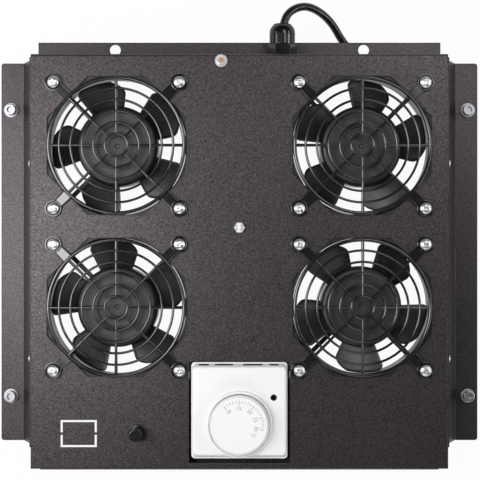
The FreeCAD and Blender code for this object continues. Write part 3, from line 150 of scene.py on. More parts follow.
class LeadSizes(PropertyGroup):
    """Sizes of the mains lead."""

    diameter: millimetres("Diameter", "Outer diameter of the sheath", 7)
    coil_outer: millimetres("Coil radius", "Radius of the coil's largest turn", 45)


class Colours(PropertyGroup):
    """Base colours of the finishes."""

    powder_coat: colour("Powder coat", "Pan, rails and bracket", (0.0135, 0.012, 0.0131))
    guard: colour("Guards", "Glossy black guards", (0.006, 0.006, 0.0065))
    blade: colour("Blades", "Satin black impellers", (0.013, 0.0122, 0.0133))
    casting: colour("Fan frames", "Black enamelled castings", (0.01, 0.01, 0.0105))
    zinc: colour("Zinc", "Screws, nuts and washers", (0.72, 0.73, 0.75))
    white: colour("White plastic", "Thermostat", (0.86, 0.86, 0.85))
    print_grey: colour("Print", "Scale on the dial", (0.28, 0.28, 0.28))
    nylon: colour("Nylon", "Cable gland", (0.004, 0.004, 0.0045))
    sheath: colour("Sheath", "Mains lead and plug", (0.005, 0.005, 0.0055))
    copper: colour("Copper plate", "Earth stud", (0.62, 0.33, 0.2))
    brass: colour("Brass", "Contacts and pins", (0.75, 0.55, 0.25))
    floor: colour("Floor", "Floor under the tray", (0.9, 0.9, 0.9))


class Lamps(PropertyGroup):
    """Strengths of the soft lamps, in watts, and of the sky."""

    high: strength("High", "Large soft box high on the left", 9.5)
    back: strength("Back", "Small soft box high at the back right", 2.3)
    left: strength("Left", "Low strip on the left", 2.4)
    right: strength("Right", "Low strip on the right", 3.2)
    front: strength("Front", "Low strip in front", 2.2)
    sky: strength("Surroundings", "Even light from above", 0.1)


class TraySettings(PropertyGroup):
    """Everything that can be set for the tray."""

    guard: PointerProperty(type=GuardSizes)
    impeller: PointerProperty(type=ImpellerSizes)
    lead: PointerProperty(type=LeadSizes)
    colours: PointerProperty(type=Colours)
    lamps: PointerProperty(type=Lamps)


def settings():
    """The tray's settings in this scene."""
    return bpy.context.scene.fan_tray


# ---------------------------------------------------------------- surfaces


def span_of(node):
    """Lowest corner, highest corner and middle of a solid part's box."""
    low, high = (np.array(corner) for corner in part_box(node))
    return low, high, (low + high) / 2


def foot_of(node):
    """Middle of the underside of a solid part's box."""
    low, _, middle = span_of(node)
    return np.array([middle[0], middle[1], low[2]])


def filleted(corners, steps=6):
    """Profile points from corners (x, y, radius): each corner with a radius becomes an arc.

    The arc starts radius * tan(turn / 2) before the corner and sweeps the turn between the sides.
    """
    points = []
    count = len(corners)
    for number, (x, y, radius) in enumerate(corners):
        corner = np.array([x, y], float)
        if not radius:
            points.append(corner[None])
            continue
        before = corner - np.array(corners[number - 1][:2], float)
        after = np.array(corners[(number + 1) % count][:2], float) - corner
        before /= np.hypot(*before)
        after /= np.hypot(*after)
        cross = before[0] * after[1] - before[1] * after[0]
        turn = math.atan2(cross, float(before @ after))
        back = radius * abs(math.tan(turn / 2))
        normal = np.array([-before[1], before[0]]) * math.copysign(1, turn)
        centre = corner - before * back + normal * radius
        swept = np.linspace(0, turn, steps + 1)[:, None]
        start = -normal * radius
        side = np.array([-start[1], start[0]])
        points.append(centre + start * np.cos(swept) + side * np.sin(swept))
    return np.concatenate(points)


def lathe(profile, around=96):
    """Profile (radius, height) carried round Z: x = r cos a, y = r sin a, z = height."""
    angle = np.linspace(0, TURN, around, endpoint=False)
    radius, height = profile[:, 0, None], profile[:, 1, None]
    return np.stack(
        [radius * np.cos(angle), radius * np.sin(angle), height + 0 * angle], axis=-1
    )


def ringed(section, radius, around=128):
    """A closed section (outward, height) carried round a circle of that radius."""
    return lathe(section + np.array([radius, 0.0]), around)


def oval(width, low, high, count=12, power=2.6):
    """Closed section between two heights: |x / a|^p + |z / b|^p = 1, walked by angle."""
    angle = np.linspace(0, TURN, count, endpoint=False)
    cosine, sine = np.cos(angle), np.sin(angle)
    x = np.sign(cosine) * np.abs(cosine) ** (2 / power) * width / 2
    z = np.sign(sine) * np.abs(sine) ** (2 / power) * (high - low) / 2 + (high + low) / 2
    return np.stack([x, z], axis=-1)


def bar(section, start, end, grow=1.0):
    """A closed section (across, height) drawn along X from start to end, its ends drawn in to a point.

    The width changes in a straight line from 1 to grow times on the way.
    """
    along = np.array([start, start, *np.linspace(start, end, 5)[1:-1], end, end])
    share = (along - start) / (end - start)
    width = 1 + (grow - 1) * share
    shut = np.ones_like(along)
    shut[[0, -1]] = 0
    middle = section.mean(axis=0)
    offset = section - middle
    y = offset[None, :, 0] * (width * shut)[:, None] + middle[0]
    z = offset[None, :, 1] * shut[:, None] + middle[1]
    x = np.broadcast_to(along[:, None], y.shape)
    return np.stack([x, y, z], axis=-1)


def turned(grid, angle):
    """A grid turned about Z by an angle in radians."""
    cosine, sine = math.cos(angle), math.sin(angle)
    turn = np.array([[cosine, sine, 0], [-sine, cosine, 0], [0, 0, 1]])
    return grid @ turn


def quads_of(rows, cols, wrap_rows, wrap_cols):
    """Corner numbers of every face of a grid, closed on itself where it wraps."""
    index = np.arange(rows * cols).reshape(rows, cols)
    if wrap_rows:
        index = np.concatenate([index, index[:1]])
    if wrap_cols:
        index = np.concatenate([index, index[:, :1]], axis=1)
    corners = [index[:-1, :-1], index[1:, :-1], index[1:, 1:], index[:-1, 1:]]
    return np.stack(corners, axis=-1).reshape(-1, 4)


def piece(name, grids, finish, sharp=40):
    """One object from grids of points, each (points, wraps along rows, wraps along columns).

    Edges sharper than that many degrees stay sharp.
    """
    points, faces, start = [], [], 0
    for grid, wrap_rows, wrap_cols in grids:
        rows, cols = grid.shape[:2]
        points.append(grid.reshape(-1, 3))
        faces.append(quads_of(rows, cols, wrap_rows, wrap_cols) + start)
        start += rows * cols
    mesh = bpy.data.meshes.new(name)
    mesh.from_pydata(np.concatenate(points).tolist(), [], np.concatenate(faces).tolist())
    work = bmesh.new()
    work.from_mesh(mesh)
    bmesh.ops.remove_doubles(work, verts=work.verts, dist=MERGE)
    bmesh.ops.dissolve_degenerate(work, edges=work.edges, dist=SLIVER)
    bmesh.ops.recalc_face_normals(work, faces=work.faces)
    work.to_mesh(mesh)
    work.free()
    mesh.polygons.foreach_set("use_smooth", np.ones(len(mesh.polygons), bool))
    mesh.set_sharp_from_angle(angle=math.radians(sharp))
    mesh.materials.append(finish)
    thing = bpy.data.objects.new(name, mesh)
    bpy.context.scene.collection.objects.link(thing)
    return thing


# ---------------------------------------------------------------- finishes


class Graph:
    """A material's nodes, added one by one and joined by keyword."""

    def __init__(self, name):
        self.material = bpy.data.materials.get(name) or bpy.data.materials.new(name)
        self.material.use_nodes = True
        self.tree = self.material.node_tree
        self.tree.nodes.clear()
        self.output = self.add("ShaderNodeOutputMaterial")

    def add(self, kind, **sockets):
        """Adds a node; a socket given a node's output is linked, and any other value is set."""
        node = self.tree.nodes.new(kind)
        for name, value in sockets.items():
            socket = node.inputs[name.replace("_", " ")]
            if isinstance(value, bpy.types.NodeSocket):
                self.tree.links.new(value, socket)
            else:
                socket.default_value = value
        return node

    def join(self, source, target):
        """Links an output to an input."""
        self.tree.links.new(source, target)

    def noise(self, coords, scale, detail=3.0, roughness=0.55):
        """Smooth noise about 0.5."""
        return self.add(
            "ShaderNodeTexNoise", Vector=coords, Scale=scale, Detail=detail, Roughness=roughness
        ).outputs["Fac"]

    def spread(self, value, low, high, start=0.3, end=0.7):
        """Maps a value between start and end to low and high."""
        node = self.add("ShaderNodeMapRange", Value=value)
        for name, size in (("From Min", start), ("From Max", end), ("To Min", low), ("To Max", high)):
            node.inputs[name].default_value = size
        return node.outputs["Result"]

    def blend(self, share, first, second):
        """A colour between two colours."""
        node = self.tree.nodes.new("ShaderNodeMix")
        node.data_type = "RGBA"
        for number, value in ((0, share), (6, first), (7, second)):
            if isinstance(value, bpy.types.NodeSocket):
                self.join(value, node.inputs[number])
            else:
                node.inputs[number].default_value = value
        return node.outputs[2]

    def shader(self, **sockets):
        """The surface's shader, joined to the output."""
        node = self.add("ShaderNodeBsdfPrincipled", **sockets)
        self.join(node.outputs["BSDF"], self.output.inputs["Surface"])
        return node


def shaded(base, factor):
    """A colour made lighter or darker, with its alpha."""
    return (*(min(channel * factor, 1.0) for channel in base), 1.0)


def grained(
    name,
    base,
    rough=(0.4, 0.5),
    metallic=0.0,
    patches=30.0,
    patch_depth=0.12,
    grain=1500.0,
    grain_depth=0.05,
    bump=0.00004,
    stretch=(1.0, 1.0, 1.0),
    specular=0.5,
    gloss_grain=0.0,
    sheen_tint=(1.0, 1.0, 1.0),
    edge=0.0,
):
    """A finish with broad patches of shade, a fine grain that dents it, and uneven gloss.

    base is a colour, or the name of one in the settings. patches and grain are how many there are
    to the metre, roughly, and their depths are shares of the colour. bump is the grain's depth and
    edge the radius by which sharp corners catch the light, both in metres. gloss_grain makes the
    gloss stronger and weaker from grain to grain by that share.
    """
    if isinstance(base, str):
        base = getattr(settings().colours, base)
    graph = Graph(name)
    place = graph.add("ShaderNodeTexCoord").outputs["Object"]
    mapped = graph.add("ShaderNodeMapping", Vector=place, Scale=stretch).outputs["Vector"]
    broad = graph.noise(place, patches)
    fine = graph.noise(mapped, grain, 4.0, 0.65)
    shade = graph.blend(
        graph.spread(broad, 0, 1), shaded(base, 1 - patch_depth), shaded(base, 1 + patch_depth)
    )
    speck = graph.blend(
        graph.spread(fine, 0, 1, 0.35, 0.65),
        shaded(base, 1 - grain_depth),
        shaded(base, 1 + grain_depth),
    )
    tone = graph.blend(0.5, shade, speck)
    dent = graph.add("ShaderNodeBump", Height=fine, Strength=1.0, Distance=bump)
    if edge:
        rounded = graph.add("ShaderNodeBevel", Radius=edge)
        graph.join(rounded.outputs["Normal"], dent.inputs["Normal"])
    shader = graph.shader(
        Base_Color=tone,
        Roughness=graph.spread(broad, *rough),
        Metallic=metallic,
        Normal=dent.outputs["Normal"],
        Specular_IOR_Level=specular,
        Specular_Tint=(*sheen_tint, 1.0),
    )
    if gloss_grain:
        weak, strong = specular * (1 - gloss_grain), specular * (1 + gloss_grain)
        level = graph.spread(fine, weak, strong, 0.38, 0.62)
        graph.join(level, shader.inputs["Specular IOR Level"])
    return graph.material


def laminated_core():
    """Thin varnished sheets stacked along Z, with the windings' warm brown between."""
    graph = Graph("laminated_core")
    place = graph.add("ShaderNodeTexCoord").outputs["Object"]
    wave = graph.add("ShaderNodeTexWave", Vector=place, Scale=320.0, Distortion=0.6)
    wave.bands_direction = "Z"
    band = wave.outputs["Fac"]
    tone = graph.blend(band, (0.16, 0.1, 0.06, 1), (0.34, 0.2, 0.11, 1))
    dent = graph.add("ShaderNodeBump", Height=band, Strength=0.6, Distance=0.0001)
    rough = graph.spread(graph.noise(place, 600.0), 0.4, 0.6)
    graph.shader(Base_Color=tone, Roughness=rough, Metallic=0.4, Normal=dent.outputs["Normal"])
    return graph.material


def fuse_glass():
    """Clear glass tube with a faint green."""
    graph = Graph("fuse_glass")
    place = graph.add("ShaderNodeTexCoord").outputs["Object"]
    rough = graph.spread(graph.noise(place, 300.0), 0.03, 0.08)
    tint = (0.85, 0.93, 0.9, 1)
    graph.shader(Roughness=rough, Base_Color=tint, Transmission_Weight=0.9, IOR=1.5)
    return graph.material


# Grained finishes by name.
GRAINED = {
    "powder_coat": dict(
        base="powder_coat", rough=(0.34, 0.4), patches=9, patch_depth=0.06, grain=1350,
        grain_depth=0.6, bump=0.00007, specular=0.7, gloss_grain=0.75,
        sheen_tint=(1.0, 0.89, 0.97), edge=0.0015,
    ),
    "guard_gloss": dict(
        base="guard", rough=(0.1, 0.14), patches=120, grain=900, grain_depth=0.2,
        bump=0.000004, specular=0.9,
    ),
    "blade_satin": dict(
        base="blade", rough=(0.4, 0.5), patches=60, specular=0.7, grain=2500, grain_depth=0.1,
        bump=0.00003,
    ),
    "cast_enamel": dict(
        base="casting", rough=(0.35, 0.5), patches=80, grain=700, grain_depth=0.2, bump=0.0001,
    ),
    "zinc_plate": dict(
        base="zinc", rough=(0.26, 0.38), metallic=1.0, patches=500, patch_depth=0.1,
        grain=3000, grain_depth=0.1, bump=0.00002, stretch=(1, 1, 6),
    ),
    # Weathered zinc of the mounting screws' washers.
    "dull_zinc": dict(
        base=(0.54, 0.54, 0.56), rough=(0.42, 0.56), metallic=1.0, patches=300,
        patch_depth=0.25, grain=2500, grain_depth=0.2, bump=0.00003, edge=0.0003,
    ),
    # Blackened steel of the mounting screws, worn bright in patches.
    "dark_steel": dict(
        base=(0.4, 0.4, 0.42), rough=(0.3, 0.44), metallic=1.0, patches=300, patch_depth=0.4,
        grain=2000, grain_depth=0.3, bump=0.00003, edge=0.0004,
    ),
    "ground_steel": dict(
        base=(0.5, 0.5, 0.52), rough=(0.25, 0.4), metallic=1.0, patches=200, grain=2500,
        bump=0.00002, stretch=(1, 1, 8),
    ),
    "white_plastic": dict(
        base="white", rough=(0.3, 0.38), patches=40, patch_depth=0.015, grain=3500,
        grain_depth=0.01, bump=0.000015,
    ),
    "black_plastic": dict(
        base="guard", rough=(0.14, 0.2), patches=150, grain=2000, grain_depth=0.15,
        bump=0.000005, specular=0.7,
    ),
    "gland_nylon": dict(
        base="nylon", rough=(0.14, 0.2), patches=150, grain=1500, grain_depth=0.15,
        bump=0.000006, specular=0.45, edge=0.0005,
    ),
    "rubber_sheath": dict(
        base="sheath", rough=(0.2, 0.27), patches=70, grain=1200, grain_depth=0.15,
        bump=0.00001,
    ),
    "copper_plate": dict(
        base="copper", rough=(0.25, 0.4), metallic=1.0, patches=400, patch_depth=0.2,
        grain=3000, bump=0.00002, stretch=(1, 1, 10),
    ),
    "brass_strip": dict(
        base="brass", rough=(0.25, 0.38), metallic=1.0, patches=300, grain=2500, bump=0.00002,
    ),
    "scale_print": dict(
        base="print_grey", rough=(0.5, 0.6), patches=200, grain=4000, grain_depth=0.1,
        bump=0.00001,
    ),
}
# Finishes with a pattern of their own.
PATTERNED = {"laminated_core": laminated_core, "fuse_glass": fuse_glass}
# The finish of each material slot.
SLOT_FINISHES = {
    "powder_coat": "powder_coat",
    "zinc_steel": "zinc_plate",
    "bearing_steel": "ground_steel",
    "fan_casting": "cast_enamel",
    "core_steel": "laminated_core",
    "blade_plastic": "blade_satin",
    "guard_plastic": "guard_gloss",
    "white_plastic": "white_plastic",
    "black_plastic": "black_plastic",
    "brass_strip": "brass_strip",
    "fuse_glass": "fuse_glass",
    "copper_plate": "copper_plate",
    "gland_nylon": "gland_nylon",
    "cord_rubber": "rubber_sheath",
}
# Solid parts whose finish isn't their slot's.
NODE_FINISHES = {
    "mounting_screws": "dark_steel",
    "rail_rivets": "zinc_plate",
    "mounting_washers": "dull_zinc",
    "centre_washer": "powder_coat",
}


def finish_of(name):
    """The finish of that name, built from the settings as they are now."""
    if name in PATTERNED:
        return PATTERNED[name]()
    return grained(name, **GRAINED[name])


# ---------------------------------------------------------------- making the pieces


def seen_directly(tree):
    """1 for rays from the camera and for rays that mirror or pass through glass, else 0."""
    path = tree.nodes.new("ShaderNodeLightPath")
    total = path.outputs["Is Camera Ray"]
    for name in ("Is Glossy Ray", "Is Transmission Ray"):
        either = tree.nodes.new("ShaderNodeMath")
        either.operation = "MAXIMUM"
        tree.links.new(total, either.inputs[0])
        tree.links.new(path.outputs[name], either.inputs[1])
        total = either.outputs["Value"]
    return total


class TRAY_OT_stage(Operator):
    """Camera over the panel, soft lamps, even surroundings and a pale floor"""

    bl_idname = "tray.stage"
    bl_label = "Stage"

    def execute(self, context):
        scene = context.scene
        scene.view_settings.view_transform = "Standard"
        self.camera(scene)
        lamps = settings().lamps
        for name, setting, place, size in LAMPS:
            self.soft_box(name, place, size, getattr(lamps, setting))
        self.surroundings(scene, lamps.sky)
        self.floor(scene)
        return {"FINISHED"}

    def camera(self, scene):
        """Long lens, straight down on the panel."""
        data = bpy.data.cameras.new("camera")
        data.lens = LENS
        data.sensor_width = SENSOR
        data.clip_end = CAMERA_REACH
        camera = bpy.data.objects.new("camera", data)
        scene.collection.objects.link(camera)
        camera.location = CAMERA_PLACE
        scene.camera = camera

    def soft_box(self, name, place, size, watts):
        """A flat lamp turned towards the tray."""
        data = bpy.data.lights.new(name, "AREA")
        data.shape = "RECTANGLE"
        data.size, data.size_y = size
        data.energy = watts
        lamp = bpy.data.objects.new(name, data)
        bpy.context.scene.collection.objects.link(lamp)
        lamp.location = place
        towards = Vector(LAMP_AIM) - Vector(place)
        lamp.rotation_euler = towards.to_track_quat("-Z", "Y").to_euler()

    def surroundings(self, scene, overhead):
        """White at and below the horizon, fading to an even dim light overhead."""
        world = bpy.data.worlds.new("surroundings")
        scene.world = world
        world.use_nodes = True
        tree = world.node_tree
        tree.nodes.clear()
        direction = tree.nodes.new("ShaderNodeTexCoord").outputs["Generated"]
        parts = tree.nodes.new("ShaderNodeSeparateXYZ")
        fade = tree.nodes.new("ShaderNodeMapRange")
        fade.interpolation_type = "SMOOTHSTEP"
        ranges = {"From Min": HORIZON[0], "From Max": HORIZON[1], "To Min": 1.0, "To Max": overhead}
        for name, value in ranges.items():
            fade.inputs[name].default_value = value
        light = tree.nodes.new("ShaderNodeBackground")
        light.inputs["Color"].default_value = (1, 1, 1, 1)
        output = tree.nodes.new("ShaderNodeOutputWorld")
        tree.links.new(direction, parts.inputs["Vector"])
        tree.links.new(parts.outputs["Z"], fade.inputs["Value"])
        tree.links.new(fade.outputs["Result"], light.inputs["Strength"])
        tree.links.new(light.outputs["Background"], output.inputs["Surface"])

    def floor(self, scene):
        """Pale floor that keeps the shadow, and looks white where it is seen or mirrored."""
        far = FLOOR_REACH
        mesh = bpy.data.meshes.new("floor")
        corners = [(-far, -far, 0), (far, -far, 0), (far, far, 0), (-far, far, 0)]
        mesh.from_pydata(corners, [], [(0, 1, 2, 3)])
        floor = bpy.data.objects.new("floor", mesh)
        scene.collection.objects.link(floor)
        floor.location.z = -FLOOR_DROP
        graph = Graph("pale_floor")
        place = graph.add("ShaderNodeTexCoord").outputs["Object"]
        tint = settings().colours.floor
        tone = graph.blend(graph.noise(place, 3.0), shaded(tint, 0.98), shaded(tint, 1.02))
        matt = graph.add("ShaderNodeBsdfDiffuse", Color=tone)
        white = graph.add("ShaderNodeEmission", Color=(1, 1, 1, 1), Strength=1.0)
        share = graph.add("ShaderNodeMath")
        share.operation = "MULTIPLY"
        share.inputs[1].default_value = FLOOR_GLOW
        graph.join(seen_directly(graph.tree), share.inputs[0])
        mix = graph.add("ShaderNodeMixShader", Fac=share.outputs["Value"])
        graph.join(matt.outputs["BSDF"], mix.inputs[1])
        graph.join(white.outputs["Emission"], mix.inputs[2])
        graph.join(mix.outputs["Shader"], graph.output.inputs["Surface"])
        mesh.materials.append(graph.material)


# The lead's path in millimetres. Its y is counted from PATH_START behind the pan's front.
PATH_START = 0.174  # metres
LEAD_DOWN = (
    (36.4, 187, 38.9),
    (36.8, 203, 38.4),
    (44.5, 214.5, 35.5),
    (60, 219.5, 26.5),
    (79, 209.5, 13),
    (91.5, 189, 4.2),
)
LEAD_ON_FLOOR = (
    (110, 172),
    (138, 163),
    (160, 145),
    (173, 120),
    (176, 92),
    (172, 64),
    (158, 42),
    (136, 30.5),
    (108, 28.5),
    (80, 29.5),
    (52, 27.5),
    (24, 27),
)
COIL_CENTRE = (1.5, 72)
CLIMB_START, CLIMB = 1.8, 0.4  # turns
LEAD_TO_PLUG = (
    (-16, 24, 10.3),
    (-27.5, 15, 8.5),
    (-36, 2, 6.0),
    (-38.4, -14, 4.6),
    (-31.9, -33.0, 6),
    (-22.9, -55.4, 10),
)


def coil_points(centre, outer, pitch, low, per_turn=16):
    """Control points of a flat coil: two turns in on the floor, two turns out on top of them.

    The angle falls evenly from -90 degrees; the radius falls by one pitch a turn, then grows again.
    The lead climbs to the upper layer between CLIMB_START and CLIMB_START + CLIMB turns.
    """
    turn = np.arange(0, 4 * per_turn + 1) / per_turn
    layer = np.clip((turn - CLIMB_START) / CLIMB, 0, 1)
    middle = outer - pitch * np.abs(2 - np.abs(turn - 2))
    radius = middle / math.cos(math.pi / per_turn)
    angle = -math.pi / 2 - TURN * turn
    height = low + pitch * layer
    return np.stack(
        [centre[0] + radius * np.cos(angle), centre[1] + radius * np.sin(angle), height], axis=-1
    )


class TRAY_OT_lead(Operator):
    """Mains lead from the gland's seal to the plug, with its put-away length coiled under the tray"""

    bl_idname = "tray.lead"
    bl_label = "Mains lead"

    def execute(self, context):
        sizes = settings().lead
        lie = sizes.diameter / 2 / MM
        on_floor = [(x, y, lie) for x, y in LEAD_ON_FLOOR]
        coil = coil_points(COIL_CENTRE, sizes.coil_outer / MM, 2 * lie, lie)
        points = np.concatenate([LEAD_DOWN, on_floor, coil, LEAD_TO_PLUG]) * MM
        points[:, 1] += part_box("tray_pan")[0][1] + PATH_START
        curve = bpy.data.curves.new("mains_lead", "CURVE")
        curve.dimensions = "3D"
        curve.bevel_depth = sizes.diameter / 2
        curve.bevel_resolution = 5
        curve.resolution_u = 8
        curve.use_fill_caps = True
        spline = curve.splines.new("NURBS")
        spline.points.add(len(points) - 1)
        spline.points.foreach_set("co", np.c_[points, np.ones(len(points))].ravel())
        spline.order_u = 3
        spline.use_endpoint_u = True
        spline.use_smooth = True
        curve.materials.append(finish_of("rubber_sheath"))
        lead = bpy.data.objects.new("mains_lead", curve)
        context.scene.collection.objects.link(lead)
        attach(lead, "base")
        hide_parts("supply_cord", "cord_coil", "cord_tail")
        return {"FINISHED"}


def leg_section(width, thick, lip, height):
    """Closed section of a guard's leg, (across, height): a flat web between two raised edges."""
    half = width / 2
    return filleted(
        [
            (-half, 0, 0),
            (half, 0, 0),
            (half, height, lip * 0.4),
            (half - lip, height, lip * 0.4),
            (half - lip, thick, 0),
            (-half + lip, thick, 0),
            (-half + lip, height, lip * 0.4),
            (-half, height, lip * 0.4),
        ],
        3,
    )


class TRAY_OT_guards(Operator):
    """Moulded finger guards: rounded rings and spokes, a deeper rim and ribbed legs with eyelets"""

    bl_idname = "tray.guards"
    bl_label = "Finger guards"

    def execute(self, context):
        sizes = settings().guard
        finish = finish_of("guard_gloss")
        grids = self.shapes(sizes)
        for number in FANS:
            base = foot_of(f"finger_guard_{number}")
            moved = [(grid + base, rows, cols) for grid, rows, cols in grids]
            guard = piece(f"guard_{number}", moved, finish)
            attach(guard, "base")
            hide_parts(f"finger_guard_{number}")
        return {"FINISHED"}

    def shapes(self, sizes):
        """Every surface of one guard, standing on z = 0."""
        top = sizes.height
        ring = oval(sizes.ring_width, sizes.ring_low, top, 16, 2.1)
        grids = [(ringed(ring, sizes.ring_pitch * k), True, True) for k in range(1, RINGS + 1)]
        rim_middle = sizes.rim_outer - sizes.rim_width / 2
        rim = oval(sizes.rim_width, 0.0, top, 24, 2.4)
        grids.append((ringed(rim, rim_middle, 160), True, True))
        spoke_low, spoke_top = 1.4 * MM, 3.9 * MM
        spoke = oval(sizes.spoke_end, spoke_low, spoke_top, 16, 2.1)
        straight = bar(spoke, sizes.ring_pitch, rim_middle, sizes.spoke_root / sizes.spoke_end)
        grids += [(turned(straight, TURN / SPOKES * k), False, True) for k in range(SPOKES)]
        web, lip, leg_top = 1.6 * MM, 1.0 * MM, 3.2 * MM
        section = leg_section(sizes.leg_root, web, lip, leg_top)
        overlap = sizes.eyelet * 0.72
        end = sizes.screw_out - overlap
        share = (end - rim_middle) / (sizes.screw_out - rim_middle)
        grow = 1 + (sizes.leg_end / sizes.leg_root - 1) * share
        leg = bar(section, rim_middle, end, grow)
        eye = lathe(self.eyelet(sizes), 48) + np.array([sizes.screw_out, 0, 0])
        for k in range(LEGS):
            angle = TURN / 8 + TURN / LEGS * k
            grids.append((turned(leg, angle), False, True))
            grids.append((turned(eye, angle), True, True))
        return grids

    def eyelet(self, sizes):
        """Closed profile of an eyelet: hole, seat for the head, groove and rounded rim."""
        seat, outer = sizes.eyelet_height, sizes.eyelet
        hole, head = 2.25 * MM, 4.4 * MM
        under_head, groove = seat - 0.02 * MM, seat - 0.8 * MM
        return filleted(
            [
                (hole, 0, 0),
                (outer, 0, 0.2 * MM),
                (outer, seat, 0.5 * MM),
                (outer - 1.3 * MM, seat, 0.4 * MM),
                (outer - 1.9 * MM, groove, 0.2 * MM),
                (head + 0.2 * MM, groove, 0),
                (head, under_head, 0),
                (hole, under_head, 0),
            ],
            4,
        )


class TRAY_OT_impellers(Operator):
    """Impellers: a moulded hub and five twisted blades with rounded edges"""

    bl_idname = "tray.impellers"
    bl_label = "Impellers"

    def execute(self, context):
        sizes = settings().impeller
        finish = finish_of("blade_satin")
        hub = lathe(self.hub(sizes), 128)
        blade = self.blade(sizes)
        for number, first in zip(FANS, FIRST_BLADES):
            base = foot_of(f"fan_{number}_frame")
            grids = [(hub + base, False, True)]
            for k in range(BLADES):
                turn = math.radians(first + 360 / BLADES * k)
                grids.append((turned(blade, turn) + base, False, True))
            wheel = piece(f"impeller_{number}", grids, finish, 35)
            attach(wheel, f"fan_{number}")
            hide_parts(f"fan_{number}_impeller")
        return {"FINISHED"}

    def hub(self, sizes):
        """Profile of the hub from the axis on top, over the rounded edge, and back inside."""
        outer, top, low = sizes.hub, sizes.hub_top, sizes.hub_low
        flat = outer - 4.5 * MM
        face = top - 0.6 * MM
        boss = top + 0.4 * MM
        inside, roof = 31.25 * MM, 29.05 * MM
        corners = [
            (0, face + 0.4 * MM, 0),
            (1.6 * MM, face + 0.4 * MM, 0.3 * MM),
            (2.2 * MM, boss, 0.4 * MM),
            (8.0 * MM, boss, 0.4 * MM),
            (8.3 * MM, face, 0.2 * MM),
            (16.4 * MM, face, 0.3 * MM),
            (16.8 * MM, top - 0.1 * MM, 0.25 * MM),
            (17.8 * MM, top - 0.1 * MM, 0.25 * MM),
            (18.2 * MM, face, 0.3 * MM),
            (flat - 0.5 * MM, face, 0.3 * MM),
            (flat, top, 0.5 * MM),
            (outer, top, 4.0 * MM),
            (outer, low, 0.3 * MM),
            (inside, low, 0),
            (inside, roof, 0),
            (0, roof, 0),
        ]
        return filleted(corners, 6)

    def blade(self, sizes, across=40, out=28):
        """One blade about +X as a grid of section loops from root to tip.

        Along a section the angle runs over the span and the height climbs from the low edge to the
        high one, less a parabola for the hollow. The thickness fades to nothing at the edges and tip.
        Towards the tip both edges draw back, by a power of the way out.
        """

        def swept(degrees, begin, length, power):
            """How far an edge has drawn back, from a radius of begin over that length (mm)."""
            return np.radians(degrees * np.clip((millimetre - begin) / length, 0, 1) ** power)

        def climbing(root_height, tip_height):
            """A height (mm) that changes in a straight line from radius 30 to 58."""
            way_out = (millimetre - 30) / 28
            return (root_height + (tip_height - root_height) * way_out) * MM

        share = np.linspace(0, 1, out)[:, None]
        inner = sizes.hub - 1.4 * MM
        radius = inner + (sizes.tip - inner) * share
        walk = np.linspace(0, TURN, 2 * across, endpoint=False)
        along = (0.5 - 0.5 * np.cos(walk))[None, :]
        side = np.sign(np.sin(walk))[None, :]
        millimetre = radius / MM
        start = -sizes.span / 2 + swept(14.0, 45.5, 11.1, 2.2)
        end = sizes.span / 2 - swept(4.5, 51.5, 5.1, 2.4)
        angle = start + (end - start) * along
        full = (angle + sizes.span / 2) / sizes.span
        low = climbing(8.0, 10.5)
        high = climbing(24.5, 28.0)
        middle = low + (high - low) * full - 4 * sizes.sag * full * (1 - full)
        edge = np.clip(np.minimum(along, 1 - along) * 14, 0, 1) ** 0.5
        tip = np.clip((1 - share) * 12, 0, 1) ** 0.5
        root = np.clip(share * 30, 0, 1)
        slope = (high - low) / (sizes.span * radius)
        stand = np.sqrt(1 + slope**2)
        lift = side * edge * tip * root * sizes.thickness / 2 * stand
        height = middle + sizes.thickness / 2 + lift
        return np.stack([radius * np.cos(angle), radius * np.sin(angle), height], axis=-1)


class TRAY_OT_guard_screws(Operator):
    """Cross-recessed pan-head screws that hold the guards"""

    bl_idname = "tray.guard_screws"
    bl_label = "Guard screws"

    def execute(self, context):
        sizes = settings().guard
        screw = self.screw()
        half = sizes.screw_out / math.sqrt(2)
        grids = []
        for number in FANS:
            foot = foot_of(f"finger_guard_{number}")
            for k, (across, along) in enumerate(((1, 1), (1, -1), (-1, -1), (-1, 1))):
                turn = math.radians(17 + 53 * k + 29 * number)
                base = foot + [across * half, along * half, sizes.eyelet_height]
                grids.append((turned(screw, turn) + base, False, True))
        screws = piece("guard_screw_set", grids, finish_of("zinc_plate"), 50)
        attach(screws, "base")
        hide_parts("guard_screws")
        return {"FINISHED"}

    def screw(self, around=48):
        """Polar height field of a domed head, less a tapering cross, with its skirt and shank.

        Height = crown - (crown - brim) * (r / R)^3, lowered inside the cross's two arms.
        """
        head, crown, brim, depth = 4.9 * MM, 2.6 * MM, 1.1 * MM, 1.1 * MM
        angle = np.linspace(0, TURN, around, endpoint=False)[None, :]
        edge = head * 0.94
        radius = np.linspace(0, edge, 22)[:, None]
        x, y = radius * np.cos(angle), radius * np.sin(angle)
        dome = crown - (crown - brim) * (radius / edge) ** 3 + 0 * angle
        reach, arm = 2.45 * MM, 0.62 * MM
        shank, tip = 2.0 * MM, -12.0 * MM

        def wing(long, short):
            """1 inside one arm of the cross, 0 outside, with sloping walls."""
            inside = np.clip((arm - np.abs(short)) / (0.25 * MM) + 0.5, 0, 1)
            ends = np.clip((reach - np.abs(long)) / (0.5 * MM), 0, 1)
            return inside * ends

        recess = np.maximum(wing(x, y), wing(y, x))
        top = np.stack([x, y, dome - depth * recess * (1 - 0.5 * radius / head)], axis=-1)
        skirt = lathe(
            np.array(
                [
                    (head * 0.985, 0.75 * MM),
                    (head, 0.4 * MM),
                    (head, 0.02 * MM),
                    (shank, 0.02 * MM),
                    (shank, tip + 0.5 * MM),
                    (shank - 0.3 * MM, tip),
                    (0, tip),
                ]
            ),
            around,
        )
        return np.concatenate([top, skirt])


